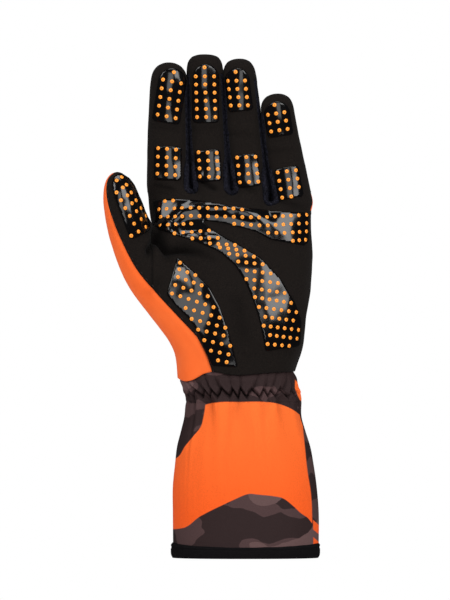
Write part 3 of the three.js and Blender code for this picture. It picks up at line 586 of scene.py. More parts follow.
def fingerRing(i, at, left, right, scale, root=0):
    # sides that meet another finger are let out a little, more so at the root, so that the two touch
    lefter = at["half"] + (size["fingerSwell"] * (1 + 2 * root) if i > 0 else size["edgeSwell"])
    righter = at["half"] + (size["fingerSwell"] * (1 + 2 * root) if i < 3 else size["edgeSwell"])
    ring = []
    for sign, span in ((-1, range(5)), (1, range(4, -1, -1))):
        for c in span:
            wide = (c / 2 - 1) * (1 - (left if c < 2 else right) if sign < 0 else edgeShare)
            ring.append(addPoint(at["x"] + wide * (lefter if c < 2 else righter) * scale,
                                 at["y"] + sign * at["depth"] * scale * companion(wide), at["z"]))
        for s in (1, 2) if sign < 0 else (2, 1):
            outward = -sign
            start = -companion(1 - (right if outward > 0 else left))
            deep = mix(start, companion(edgeShare), s / sideSteps) + (0.07 if i == 3 and outward > 0 else 0)
            reach = (righter if outward > 0 else lefter) * scale * companion(deep)
            ring.append(addPoint(at["x"] + outward * reach, at["y"] + at["depth"] * scale * deep, at["z"]))
    return ring


for i, finger in enumerate(fingers):
    start = i * 4
    base = [topRing[start + c] for c in range(5)]
    base += crotches[i][1:3] if i < 3 else [topRing[columns + 1], topRing[columns + 2]]
    base += [topRing[behind(start + c)] for c in range(4, -1, -1)]
    base += crotches[i - 1][2:0:-1] if i > 0 else [topRing[ringSize - 2], topRing[ringSize - 1]]
    rings = [base]
    rootShare = (points[topRing[start + 2]].z - rootLevel) / finger["length"]
    for row in fingerRows:
        share = mix(rootShare, 1 - finger["cap"], row["way"])
        rings.append(fingerRing(i, fingerAt(finger, share), row["open"] if i > 0 else 0.1,
                                row["open"] if i < 3 else 0.1, 1, max(1 - row["way"] / 0.28, 0)))
    for turn in (28, 50, 70):
        angle = math.radians(turn)
        at = fingerAt(finger, 1 - finger["cap"])
        risen = math.sin(angle) ** (2 / finger["blunt"]) * finger["cap"]
        higher = fingerAt(finger, 1 - finger["cap"] + risen)
        at.update(x=higher["x"], y=higher["y"], z=higher["z"])
        rings.append(fingerRing(i, at, 0.13, 0.13, math.cos(angle) ** (2 / finger["blunt"])))
    lastSide = len(fingerRows)
    for r in range(len(rings) - 1):
        for k in range(fingerRingSize):
            n = (k + 1) % fingerRingSize
            label = "palm_panel"
            onRight, onLeft = 4 <= k < 7, k >= 11
            if onRight and i < 3 and r < lastSide:
                label = "sidewall_" + finger["name"] + "_" + fingers[i + 1]["name"]
            elif onLeft and i > 0 and r < lastSide:
                label = "sidewall_" + fingers[i - 1]["name"] + "_" + finger["name"]
            elif 7 <= k < 11:
                label = finger["name"] + "_back" if r else "back_panel"
            elif onRight and k > 4 and r < 2:
                label = "back_panel"
            elif k in (6, 11):
                label = finger["name"] + "_back" if 0 < r < lastSide else "palm_panel" if r else "back_panel"
            addFace(label, rings[r][k], rings[r][n], rings[r + 1][n], rings[r + 1][k])
    last = rings[-1]
    grid = [[last[k] for k in line] for line in ((0, 1, 2, 3, 4), (13, 0, 0, 0, 5), (12, 0, 0, 0, 6),
                                                 (11, 10, 9, 8, 7))]
    top = fingerAt(finger, 1)
    for b in (1, 2):
        for a in (1, 2, 3):
            p = points[grid[0][a]].lerp(points[grid[3][a]], b / 3)
            grid[b][a] = addPoint(p.x, p.y, mix(p.z, top["z"], 1 if a == 2 else 0.85))
    for b in range(3):
        for a in range(4):
            addFace("palm_panel" if b < 2 else finger["name"] + "_back",
                    grid[b][a], grid[b][a + 1], grid[b + 1][a + 1], grid[b + 1][a])

# The thumb grows out of a hole in the palm's side
hole = [palmRings[r][thumbFront] for r in range(thumbBottom, thumbTop)]
hole += [palmRings[thumbTop][(thumbFront - c) % ringSize] for c in range(6)]
hole += [palmRings[r][backStart + columns] for r in range(thumbTop, thumbBottom, -1)]
hole += [palmRings[thumbBottom][(backStart + columns + c) % ringSize] for c in range(6)]


def thumbPlace(x, z, forward):
    return Vector((x * breadth, -forward * depthScale, wristLevel + z * palmLength))


thumbRings = [hole]
for row in thumbRows:
    outer = thumbPlace(row["outerX"], row["outerZ"], row["forward"])
    inner = thumbPlace(row["innerX"], row["innerZ"], row["forward"])
    centre, ring = (outer + inner) / 2, []
    for k in range(len(hole)):
        angle = math.radians(row["seam"] - 360 * k / len(hole))
        p = centre + (inner - centre) * math.cos(angle)
        ring.append(addPoint(p.x, p.y - row["depth"] * depthScale * math.sin(angle), p.z))
    thumbRings.append(ring)
suedeFaces, thumbSides = 11, len(hole)
for r in range(len(thumbRings) - 1):
    for k in range(thumbSides):
        n = (k + 1) % thumbSides
        label = ("palm_panel" if r < 2 else "thumb_front") if k < suedeFaces else "thumb_side_panel"
        addFace(label, thumbRings[r][k], thumbRings[r][n], thumbRings[r + 1][n], thumbRings[r + 1][k])
tip = addPoint(*thumbPlace(thumbTip["x"], thumbTip["z"], thumbTip["forward"]))
for k in range(0, thumbSides, 2):
    ring = thumbRings[-1]
    addFace("thumb_front" if k < suedeFaces else "thumb_side_panel",
            ring[k], ring[k + 1], ring[(k + 2) % thumbSides], tip)

neighbours = [set() for _ in points]
for corners in faces:
    for n, p in enumerate(corners):
        neighbours[p].update((corners[(n + 1) % 4], corners[(n + 3) % 4]))
eased = set(thumbRings[0] + thumbRings[1] + thumbRings[2])
for _ in range(2):
    moved = {p: points[p].lerp(sum((points[q] for q in neighbours[p]), Vector()) / len(neighbours[p]), 0.4)
             for p in eased}
    for p, place in moved.items():
        points[p] = place

names = sorted(set(labels))
cage = bpy.data.meshes.new("cage")
cage.from_pydata(points, [], faces)
for _ in names:
    cage.materials.append(look["suede"])
cage.polygons.foreach_set("material_index", [names.index(label) for label in labels])
cageObject = linked("cage", cage)
subdivision = cageObject.modifiers.new("Subdivision", "SUBSURF")
subdivision.levels = subdivision.render_levels = 3
skin = baked(cageObject)


def coordinates(mesh, owner="vertices", field="co"):
    items = getattr(mesh, owner)
    values = np.empty(len(items) * 3, dtype=np.float32)
    items.foreach_get(field, values)
    return values.reshape(-1, 3).astype(float)


skinPlaces = coordinates(skin)
skinNormals = coordinates(skin, "vertex_normals", "vector")
quads = np.empty(len(skin.loops), dtype=np.int32)
skin.loops.foreach_get("vertex_index", quads)
quads = quads.reshape(-1, 4)
pieceOf = np.empty(len(quads), dtype=np.int32)
skin.polygons.foreach_get("material_index", pieceOf)
print("skin", len(skinPlaces), "points", len(names), "pieces")

# Edges where two pieces meet
edgeOwner, seamEdges = {}, []
for q, corners in enumerate(quads.tolist()):
    for n in range(4):
        a, b = corners[n], corners[(n + 1) % 4]
        other = edgeOwner.pop((b, a), None)
        if other is None:
            edgeOwner[(a, b)] = q
        elif pieceOf[other] != pieceOf[q]:
            seamEdges.append((a, b, q, other))
seamPoints = sorted({p for edge in seamEdges for p in edge[:2]})
tree = KDTree(len(seamPoints))
for n, p in enumerate(seamPoints):
    tree.insert(skinPlaces[p], n)
tree.balance()
seamDistance = np.array([tree.find(p)[2] for p in skinPlaces])

# Creases of the palm side, drawn in the front view; lip is the height of the roll above a crease, reach
# the distance at which it stands
creases = rows(
    "path width depth lip reach",
    (((-0.0519, 0.1892), (-0.0486, 0.1822), (-0.0467, 0.1796), (-0.0416, 0.1803), (-0.0360, 0.1805),
      (-0.0276, 0.1793), (-0.0199, 0.1755)), 0.0018, 0.0034, 0.0050, 0.0078),
    (((-0.0529, 0.1873), (-0.0566, 0.1817), (-0.0566, 0.1760)), 0.0018, 0.0032, 0.0010, 0.0034),
    (((-0.0545, 0.1925), (-0.0505, 0.1850), (-0.0478, 0.1806)), 0.0018, 0.0020, 0.0, 0.0050),
    (((-0.0478, 0.1806), (-0.0455, 0.1760), (-0.0448, 0.1720)), 0.0018, 0.0010, 0.0, 0.0050),
    (((-0.0257, 0.2211), (-0.0153, 0.2155)), 0.0014, 0.0016, 0.0008, 0.0030),
    (((-0.0560, 0.2540), (-0.0350, 0.2525)), 0.0016, 0.0006, 0.0003, 0.0030),
    (((-0.0330, 0.2520), (-0.0130, 0.2535)), 0.0016, 0.0005, 0.0003, 0.0030),
    (((-0.0110, 0.2500), (0.0080, 0.2480)), 0.0016, 0.0005, 0.0003, 0.0030),
    (((0.0130, 0.2390), (0.0300, 0.2400)), 0.0016, 0.0005, 0.0003, 0.0030),
    (((-0.0050, 0.2195), (0.0080, 0.2150)), 0.0016, 0.0009, 0.0004, 0.0030),
    (((-0.0530, 0.2190), (-0.0400, 0.2160)), 0.0016, 0.0008, 0.0004, 0.0030),
    (((0.0200, 0.2105), (0.0330, 0.2060)), 0.0016, 0.0008, 0.0004, 0.0030),
    # rolls instead of creases, so their depth is below zero: an arc over the palm and two short ones below
    (((-0.0444, 0.1914), (-0.0420, 0.1973), (-0.0362, 0.2032), (-0.0268, 0.2061), (-0.0115, 0.2055),
      (0.0038, 0.2020), (0.0132, 0.1985), (0.0203, 0.1926)), 0.0036, -0.0022, 0.0, 0.0050),
    (((-0.0367, 0.1885), (-0.0268, 0.1917), (-0.0156, 0.1912)), 0.0011, -0.0010, 0.0, 0.0050),
    (((-0.0367, 0.1858), (-0.0268, 0.1884), (-0.0162, 0.1884)), 0.0011, -0.0010, 0.0, 0.0050),
    # wide shallow dents
    (((0.0180, 0.1330), (0.0280, 0.1180)), 0.0030, 0.0008, 0.0, 0.0050),
    (((-0.0050, 0.1500), (0.0000, 0.1220)), 0.0035, 0.0008, 0.0, 0.0050),
    (((-0.0560, 0.1560), (-0.0480, 0.1660)), 0.0025, 0.0008, 0.0, 0.0050),
)
seam = dict(depth=0.0007, width=0.0011, lip=0.00022, lipOffset=0.0032, lipWidth=0.0018,
            shade=0.5, shadeWidth=0.0007)
relief = dict(shadeDepth=0.0024, shadeSpread=1.4, underside=0.35, calm=0.004, swell=0.00015)
bumps = ((38, 0.0005), (130, 0.00018))
facing = np.clip(-skinNormals[:, 1], 0, 1)
sideways = smooth(0.45, 0.85, np.abs(skinNormals[:, 0])) * smooth(0.198, 0.204, skinPlaces[:, 2])
lift = -seam["depth"] * bell(seamDistance, seam["width"]) * (1 - 0.85 * sideways)
lift += seam["lip"] * bell(seamDistance - seam["lipOffset"], seam["lipWidth"]) * (1 - sideways)
# painted shade along the seams and in the creases, kept on the panels as the attribute deep
paintedShade = bell(seamDistance, seam["shadeWidth"]) * seam["shade"] * (1 - sideways)
for crease in creases:
    away, above, gone = np.full(len(skinPlaces), 1.0), np.zeros(len(skinPlaces)), np.zeros(len(skinPlaces))
    corners = [np.array(p) for p in crease["path"]]
    for number, (a, b) in enumerate(zip(corners[:-1], corners[1:])):
        flat, way = skinPlaces[:, (0, 2)] - a, b - a
        along = np.clip(flat @ way / (way @ way), 0, 1)
        here = np.linalg.norm(flat - along[:, None] * way, axis=1)
        above = np.where(here < away, np.sign(way[0] * flat[:, 1] - way[1] * flat[:, 0]), above)
        gone = np.where(here < away, (number + along) / (len(corners) - 1), gone)
        away = np.minimum(here, away)
    taper = np.clip(facing * 1.6, 0, 1) * (0.2 + 0.8 * smooth(1.0, 0.6, gone))  # fades towards its end
    x, room = skinPlaces[:, 0], crease["reach"]
    span = smooth(corners[0][0] - room / 2, corners[0][0] + room / 2, x)
    span = span * smooth(corners[-1][0] + room, corners[-1][0] - room / 2, x)
    near = away / room
    shade = min(max(crease["depth"], 0) / relief["shadeDepth"], 1)
    paintedShade += taper * shade * bell(away, relief["shadeSpread"] * crease["width"])
    lift -= taper * crease["depth"] * bell(away, crease["width"])
    lift += taper * span * crease["lip"] * np.where(above > 0, (near * np.exp(1 - near)) ** 2, 0)
    low = away / (relief["underside"] * room)
    under = np.where(above < 0, (low * np.exp(1 - low)) ** 2, 0)
    lift += taper * span * relief["underside"] * crease["lip"] * under
unevenness = np.array([sum(noise.noise(Vector(p) * rate) * height for rate, height in bumps)
                       for p in skinPlaces])
lift += unevenness * smooth(0.0, relief["calm"], seamDistance)
skinPlaces = skinPlaces + skinNormals * (lift + relief["swell"])[:, None]
skin.vertices.foreach_set("co", skinPlaces.astype(np.float32).ravel())
skin.update()
skinNormals = coordinates(skin, "vertex_normals", "vector")
skinTree = BVHTree.FromPolygons([Vector(p) for p in skinPlaces], quads.tolist())


def clothOf(name):
    if name.startswith("sidewall"):
        return look["navy"]
    if name in ("palm_panel", "thumb_front"):
        return look["suede"]
    return look["orange"] if name in ("back_panel", "thumb_side_panel") else look["camo"]


def walled(places, normals, corners, wall):
    used, inverse = np.unique(corners, return_inverse=True)
    return closed(places[used], places[used] - normals[used] * wall, inverse.reshape(corners.shape))


def knitLoop(i):
    # Two rolled edges of knit that come out of the crotch between two fingers and join below it
    loop = dict(half=(0.0029, 0.0031, 0.0034)[i], tall=(0.0150, 0.0165, 0.0175)[i], radius=0.00165,
                rise=0.0025, bend=0.28, closing=0.35, steps=61, sides=12, deepest=0.004, sink=0.0007)
    c = crotches[i][0]
    foot = points[c]
    left, right = fingers[i], fingers[i + 1]
    path = []
    for t in np.linspace(-1, 1, loop["steps"]):
        side, rise = math.copysign(1, t), abs(t)
        if rise < loop["bend"]:
            angle = rise / loop["bend"] * math.pi / 2
            across, up = loop["half"] * math.sin(angle), -loop["half"] * math.cos(angle)
        else:
            climbed = (rise - loop["bend"]) / (1 - loop["bend"])
            up = climbed * loop["tall"]
            across = loop["half"] * (1 - loop["closing"] * climbed)
        z = foot.z + loop["rise"] + loop["half"] * 0.4 + up
        share = max(z - rootLevel, 0) / left["length"]
        a, b = fingerAt(left, share), fingerAt(right, max(z - rootLevel, 0) / right["length"])
        x = (a["x"] + a["half"] + b["x"] - b["half"]) / 2 + side * across
        hit = skinTree.ray_cast(Vector((x, -0.2, z)), Vector((0, 1, 0)))
        path.append(Vector((x, min(hit[0].y, foot.y + loop["deepest"]) - loop["sink"], z)))
    eased = [(path[n - 1] + path[n] * 2 + path[n + 1]) / 4 for n in range(1, len(path) - 1)]
    path = [path[0], *eased, path[-1]]
    places, made, sides = [], [], loop["sides"]
    for n, p in enumerate(path):
        along = (path[min(n + 1, len(path) - 1)] - path[max(n - 1, 0)]).normalized()
        across = along.cross(Vector((0, 1, 0))).normalized()
        deep = across.cross(along)
        end = min(n, len(path) - 1 - n) / 6
        radius = loop["radius"] * math.sqrt(min(1, 0.1 + end))
        for s in range(sides):
            angle = 2 * math.pi * s / sides
            places.append(p + across * radius * math.cos(angle) + deep * radius * math.sin(angle))
    for n in range(len(path) - 1):
        for s in range(sides):
            t = (s + 1) % sides
            made.append([n * sides + s, n * sides + t, (n + 1) * sides + t, (n + 1) * sides + s])
    made.append(list(range(sides))[::-1])
    made.append([(len(path) - 1) * sides + s for s in range(sides)])
    return np.array(places), made


for index, name in enumerate(names):
    places, made = walled(skinPlaces, skinNormals, quads[pieceOf == index], size["wall"])
    if name.startswith("sidewall"):
        loopPlaces, loopFaces = knitLoop([n for n in names if n.startswith("sidewall")].index(name))
        made += [[p + len(places) for p in face] for face in loopFaces]
        places = np.vstack((places, loopPlaces))
    # the painted shade of seams and creases, for the outer points of the panel
    paintedShades = np.zeros(len(places))
    outer = np.unique(quads[pieceOf == index])
    paintedShades[:len(outer)] = np.clip(paintedShade[outer], 0, 1)
    addPiece(name + "_cloth", name, places, made, clothOf(name), paintedShades)
print("panels", len(names))

# Grips: outlines in the front view, as shares of the sizes or of the finger
fingerGrips = rows(
    "finger part top bottom width across tilt round",
    ("index", "tip", 0.042, 0.448, 0.62, 0.035, -9, True),
    ("middle", "tip", 0.070, 0.478, 0.645, 0.0, 0, True),
    ("ring", "tip", 0.068, 0.378, 0.63, -0.05, 7, True), ("little", "tip", 0.072, 0.41, 0.62, -0.02, 9, True),
    ("index", "pad", 0.618, 0.87, 0.61, -0.01, -1, False),
    ("middle", "pad", 0.664, 0.886, 0.62, -0.03, 4, False),
    ("ring", "pad", 0.685, 0.92, 0.61, -0.02, 6, False), ("little", "pad", 0.7, 1.005, 0.6, 0.0, 10, False),
)
palmGripOutline = (
    (-0.562, 0.984), (-0.432, 0.998), (-0.245, 0.98), (-0.015, 0.946), (0.178, 0.925), (0.38, 0.916),
    (0.382, 0.748), (0.357, 0.728), (0.153, 0.762), (0.068, 0.806), (-0.135, 0.858), (-0.262, 0.872),
    (-0.219, 0.832), (-0.163, 0.797), (-0.061, 0.745), (0.096, 0.657), (0.208, 0.544), (0.3, 0.404),
    (0.338, 0.299), (0.329, 0.155), (0.12, 0.124), (0.106, 0.212), (0.078, 0.326), (0.041, 0.43),
    (0.003, 0.517), (-0.061, 0.614), (-0.155, 0.692), (-0.294, 0.75), (-0.404, 0.78), (-0.481, 0.806),
    (-0.535, 0.82),
)
thenarGripOutline = (
    (-0.414, 0.664), (-0.302, 0.57), (-0.219, 0.491), (-0.155, 0.378), (-0.098, 0.22), (-0.047, 0.034),
    (-0.203, 0.043), (-0.241, 0.116), (-0.274, 0.212), (-0.339, 0.309), (-0.423, 0.386), (-0.479, 0.451),
)
thumbGripOutline = (
    (-0.797, 1.125), (-0.755, 1.14), (-0.69, 1.1), (-0.655, 1.03), (-0.625, 0.955), (-0.59, 0.88),
    (-0.574, 0.817), (-0.693, 0.756), (-0.722, 0.824), (-0.758, 0.92), (-0.792, 1.006), (-0.808, 1.08),
)
grip = dict(thickness=0.0008, edge=0.00035, pitch=0.0009, sink=0.0004, outlineStep=0.0007, clear=0.0001,
            palmCorner=0.002, thenarCorner=0.0014, thumbCorner=0.004)
dot = dict(radius=0.00119, height=0.00040, room=0.0009, step=0.004)
# Rows of dots in millimetres, charted: the first and the last dot of a row, and how many it has
dotRows = rows(
    "x0 z0 x1 z1 count",
    # palm, from the finger roots down to the wrist
    (-52.3, 209.8, -42.6, 210.5, 3), (-51.0, 205.4, -37.4, 206.2, 4), (-32.3, 206.3, -7.1, 205.8, 6),
    (-2.0, 205.2, -2.0, 205.2, 1), (-49.9, 200.9, -37.2, 201.2, 4), (-32.1, 201.5, 3.2, 200.7, 8),
    (8.0, 200.6, 36.1, 202.2, 7), (-50.2, 196.1, -31.9, 196.9, 5), (-11.6, 197.1, 8.2, 195.9, 5),
    (13.1, 195.9, 36.1, 197.3, 6), (-41.7, 191.2, -21.5, 192.9, 5), (8.5, 191.6, 23.0, 191.5, 4),
    (27.8, 191.8, 35.9, 192.4, 3), (-31.3, 188.2, -16.3, 188.5, 4), (27.9, 186.9, 35.4, 187.5, 3),
    (-25.8, 185.6, -6.2, 184.3, 5), (-15.0, 182.9, -0.6, 181.0, 4), (-9.6, 179.2, 4.9, 177.5, 4),
    (-4.3, 174.6, 10.1, 173.0, 4), (-4.0, 169.9, 14.8, 167.6, 5), (0.6, 164.3, 19.1, 161.9, 5),
    (5.1, 158.8, 23.0, 156.1, 5), (5.6, 153.7, 26.8, 150.3, 6), (7.9, 147.9, 29.9, 144.8, 6),
    (11.6, 142.1, 32.2, 139.4, 6), (10.7, 136.9, 31.2, 134.4, 6), (14.4, 131.4, 30.3, 129.3, 5),
    (13.0, 126.1, 25.7, 125.0, 4),
    # ball of the thumb
    (-38.5, 173.9, -38.5, 173.9, 1), (-38.9, 170.0, -29.5, 166.6, 3), (-39.7, 165.5, -25.8, 160.6, 4),
    (-41.3, 160.8, -22.2, 154.2, 5), (-43.2, 155.8, -18.8, 147.8, 6), (-35.2, 147.3, -15.2, 141.6, 5),
    (-31.6, 140.9, -11.9, 135.7, 5), (-27.8, 134.6, -12.9, 131.1, 4), (-24.2, 128.4, -9.0, 125.1, 4),
    (-20.3, 122.2, -10.0, 120.0, 3), (-21.2, 117.5, -11.1, 115.5, 3),
    # thumb
    (-75.6, 222.2, -75.6, 222.2, 1), (-75.7, 215.1, -62.8, 192.2, 6), (-72.0, 218.0, -58.6, 194.9, 6),
    (-72.7, 224.2, -55.8, 196.9, 7), (-67.1, 189.7, -67.1, 189.7, 1),
    # uppermost dots of the fingertips
    (-42.1, 286.0, -42.1, 286.0, 1), (-24.1, 288.9, -24.1, 288.9, 1), (-5.8, 286.2, -5.8, 286.2, 1),
    (17.1, 266.8, 17.1, 266.8, 1),
)
# Blocks of three columns on the fingers: the top row's left and right dot, the lowest left dot, and the rows
dotBlocks = rows(
    "x0 z0 x1 z1 x2 z2 lines",
    (-48.5, 281.7, -37.9, 279.5, -51.7, 261.2, 5), (-29.3, 283.6, -18.5, 283.6, -28.5, 259.7, 6),
    (-10.3, 281.0, -0.3, 281.1, -8.6, 266.5, 4), (13.2, 261.0, 22.9, 262.5, 15.1, 251.2, 3),
    (-51.4, 241.4, -40.9, 240.5, -51.9, 226.4, 4), (-27.6, 239.0, -16.9, 238.6, -26.8, 224.7, 4),
    (-4.9, 235.9, 5.9, 236.3, -3.3, 221.3, 4), (19.0, 227.1, 29.7, 228.4, 21.6, 212.3, 4),
)


def onPalm(outline):
    return [np.array((x * breadth, wristLevel + z * palmLength)) for x, z in outline]


def rounded(outline, radius):
    # Corners turned into short arcs
    made = []
    for n, p in enumerate(outline):
        a, b = outline[n - 1], outline[(n + 1) % len(outline)]
        toA, toB = a - p, b - p
        cut = min(radius, 0.45 * np.linalg.norm(toA), 0.45 * np.linalg.norm(toB))
        start, end = p + toA / np.linalg.norm(toA) * cut, p + toB / np.linalg.norm(toB) * cut
        made += [(1 - t) ** 2 * start + 2 * t * (1 - t) * p + t * t * end for t in np.linspace(0, 1, 6)]
    return made


def resampled(outline, spacing):
    line = np.array(outline + [outline[0]])
    lengths = np.linalg.norm(np.diff(line, axis=0), axis=1)
    total = np.concatenate(([0], np.cumsum(lengths)))
    count = max(int(total[-1] / spacing), 12)
    at = np.linspace(0, total[-1], count, endpoint=False)
    return np.stack((np.interp(at, total, line[:, 0]), np.interp(at, total, line[:, 1])), axis=1)


def outlineDistance(outline, places):
    a, b = outline, np.roll(outline, -1, axis=0)
    best = np.full(len(places), 1.0)
    inside = np.zeros(len(places), dtype=bool)
    for p, q in zip(a, b):
        way = q - p
        along = np.clip((places - p) @ way / (way @ way), 0, 1)
        best = np.minimum(best, np.linalg.norm(places - p - along[:, None] * way, axis=1))
        crosses = (p[1] > places[:, 1]) != (q[1] > places[:, 1])
        with np.errstate(divide="ignore", invalid="ignore"):
            at = p[0] + (places[:, 1] - p[1]) / (q[1] - p[1]) * way[0]
        inside ^= crosses & (places[:, 0] < at)
    return np.where(inside, best, -best)


def onSkin(place):
    x, z = place
    hit, normal, _, _ = skinTree.ray_cast(Vector((x, -0.2, z)), Vector((0, 1, 0)))
    if hit is None:
        hit, normal, _, _ = skinTree.find_nearest(Vector((x, -0.02, z)))
    return hit, normal


def smoothNormals(places, triangles):
    normals = np.zeros_like(places)
    a, b, c = (places[triangles[:, n]] for n in range(3))
    area = np.cross(b - a, c - a)
    for n in range(3):
        np.add.at(normals, triangles[:, n], area)
    return normals / np.maximum(np.linalg.norm(normals, axis=1)[:, None], 1e-12)


def gripMesh(outline):
    border = resampled(outline, grip["outlineStep"])
    low, high = border.min(axis=0), border.max(axis=0)
    xs = np.arange(low[0], high[0], grip["pitch"])
    zs = np.arange(low[1], high[1], grip["pitch"] * 0.866)
    field = np.array([(x + (n % 2) * grip["pitch"] / 2, z) for n, z in enumerate(zs) for x in xs])
    field = field[outlineDistance(border, field) > grip["edge"] + 0.45 * grip["pitch"]]
    way = np.roll(border, -1, axis=0) - np.roll(border, 1, axis=0)
    inward = np.stack((-way[:, 1], way[:, 0]), axis=1) / np.linalg.norm(way, axis=1)[:, None]
    turning = np.sum(border[:, 0] * np.roll(border[:, 1], -1) - border[:, 1] * np.roll(border[:, 0], -1))
    shelf = border + inward * math.copysign(1.05 * grip["edge"], turning)
    shelf = shelf[outlineDistance(border, shelf) > 0.9 * grip["edge"]]
    flat = np.vstack((border, shelf, field))
    ring = [(n, (n + 1) % len(border)) for n in range(len(border))]
    flat, _, triangles, _, _, _ = delaunay_2d_cdt([Vector(p) for p in flat], ring, [], 1, 1e-7)
    flat = np.array([tuple(p) for p in flat])
    triangles = np.array(triangles)
    surface = np.array([tuple(onSkin(p)[0]) for p in flat])
    normals = smoothNormals(surface, triangles)
    if normals[:, 1].mean() > 0:
        triangles, normals = triangles[:, ::-1], -normals
    inside = np.clip(np.maximum(outlineDistance(border, flat), 0) / grip["edge"], 0, 1)
    height = grip["thickness"] * np.sqrt(1 - (1 - inside) ** 2) + grip["clear"]
    return closed(surface + normals * height[:, None], surface - normals * grip["sink"], triangles)


filmPlaces, filmFaces = [], []


def addGrip(name, outline):
    places, made = gripMesh(outline)
    addPiece(name + "_film", name, places, made, look["rubber"])
    filmFaces.extend([p + len(filmPlaces) for p in face] for face in made)
    filmPlaces.extend(Vector(p) for p in places)


def fingerGrip(row):
    finger = next(f for f in fingers if f["name"] == row["finger"])
    centre = fingerAt(finger, 1 - (row["top"] + row["bottom"]) / 2)
    rootWidth = 2 * finger["rootHalf"] * breadth
    half = row["width"] * rootWidth / 2
    tall = (row["bottom"] - row["top"]) * finger["length"] / 2
    corner = 0.28 * half
    outline = []

    def arc(x, z, radius, start, end, count):
        for angle in np.radians(np.linspace(start, end, count)):
            outline.append((x + radius * math.cos(angle), z + radius * math.sin(angle)))

    arc(half - corner, corner - tall, corner, -90, 0, 6)
    if row["round"]:
        arc(0, tall - half, half, 0, 180, 24)
    else:
        arc(half - corner, tall - corner, corner, 0, 90, 6)
        arc(corner - half, tall - corner, corner, 90, 180, 6)
    arc(corner - half, corner - tall, corner, 180, 270, 6)
    tilt = math.radians(row["tilt"])
    turn = np.array(((math.cos(tilt), -math.sin(tilt)), (math.sin(tilt), math.cos(tilt))))
    middle = np.array((centre["x"] + row["across"] * rootWidth, centre["z"]))
    addGrip(row["finger"] + "_" + row["part"] + "_grip", [turn @ np.array(p) + middle for p in outline])


for row in fingerGrips:
    fingerGrip(row)
addGrip("palm_grip", rounded(onPalm(palmGripOutline), grip["palmCorner"]))
addGrip("thenar_grip", rounded(onPalm(thenarGripOutline), grip["thenarCorner"]))
addGrip("thumb_grip", rounded(onPalm(thumbGripOutline), grip["thumbCorner"]))

# Every charted dot is carried straight back onto the film, if it lies wholly on it
dotSpots = [mix(np.array((row["x0"], row["z0"])), np.array((row["x1"], row["z1"])), t)
            for row in dotRows for t in np.linspace(0, 1, row["count"])]
for block in dotBlocks:
    start, across = np.array((block["x0"], block["z0"])), np.array((block["x1"], block["z1"]))
    down = (np.array((block["x2"], block["z2"])) - start) / (block["lines"] - 1)
    dotSpots += [start + (across - start) * a / 2 + down * b for b in range(block["lines"]) for a in range(3)]
filmTree = BVHTree.FromPolygons(filmPlaces, filmFaces)
dotPlaces, dotFacing = [], []
for x, z in np.array(dotSpots) / 1000:
    hits = [filmTree.ray_cast(Vector((x + a, -0.2, z + b)), Vector((0, 1, 0)))
            for a, b in ((0, 0), (dot["room"], 0), (-dot["room"], 0), (0, dot["room"]), (0, -dot["room"]))]
    if all(hit[0] is not None and hit[0].y - hits[0][0].y < dot["step"] for hit in hits):
        dotPlaces.append(hits[0][0])
        dotFacing.append(sum((hit[1] for hit in hits), Vector()).normalized())
print("grips", len(fingerGrips) + 3, "dots", len(dotPlaces))


# Geometry Nodes that set one small shape on every point, turned to the point's own directions
def scatterGroup(name, sides, rings):
    group = bpy.data.node_groups.new(name, "GeometryNodeTree")
    face = group.interface
    face.new_socket("Geometry", in_out="INPUT", socket_type="NodeSocketGeometry")
    for label in ("Length", "Width", "Height"):
        face.new_socket(label, in_out="INPUT", socket_type="NodeSocketFloat")
    face.new_socket("Material", in_out="INPUT", socket_type="NodeSocketMaterial")
    face.new_socket("Geometry", in_out="OUTPUT", socket_type="NodeSocketGeometry")
    entry = addNode(group, "NodeGroupInput")
    ball = addNode(group, "GeometryNodeMeshUVSphere", {"Segments": sides, "Rings": rings, "Radius": 1.0})
    here = addNode(group, "GeometryNodeInputPosition")
    flat = addNode(group, "ShaderNodeVectorMath", {0: here.outputs[0], 1: (1, 1, 0)}, operation="MULTIPLY")
    reach = addNode(group, "ShaderNodeVectorMath", {0: flat.outputs[0]}, operation="LENGTH")
    kept = addNode(group, "GeometryNodeStoreNamedAttribute",
                   {"Geometry": ball.outputs["Mesh"], "Name": "reach", "Value": reach.outputs["Value"]},
                   data_type="FLOAT", domain="POINT")
    scale = addNode(group, "ShaderNodeCombineXYZ",
                    {0: entry.outputs["Length"], 1: entry.outputs["Width"], 2: entry.outputs["Height"]})
    shaped = addNode(group, "GeometryNodeTransform", {"Geometry": kept.outputs["Geometry"],
                                                      "Scale": scale.outputs[0]})
    facing = addNode(group, "GeometryNodeInputNamedAttribute", {"Name": "facing"}, data_type="FLOAT_VECTOR")
    along = addNode(group, "GeometryNodeInputNamedAttribute", {"Name": "along"}, data_type="FLOAT_VECTOR")
    upright = addNode(group, "FunctionNodeAlignRotationToVector",
                      {"Vector": facing.outputs["Attribute"]}, axis="Z")
    turned = addNode(group, "FunctionNodeAlignRotationToVector",
                     {"Rotation": upright.outputs["Rotation"], "Vector": along.outputs["Attribute"]},
                     axis="X", pivot_axis="Z")
    spread = addNode(group, "GeometryNodeInstanceOnPoints",
                     {"Points": entry.outputs["Geometry"], "Instance": shaped.outputs["Geometry"],
                      "Rotation": turned.outputs["Rotation"]})
    real = addNode(group, "GeometryNodeRealizeInstances", {"Geometry": spread.outputs["Instances"]})
    painted = addNode(group, "GeometryNodeSetMaterial",
                      {"Geometry": real.outputs["Geometry"], "Material": entry.outputs["Material"]})
    addNode(group, "NodeGroupOutput", {"Geometry": painted.outputs["Geometry"]})
    return group


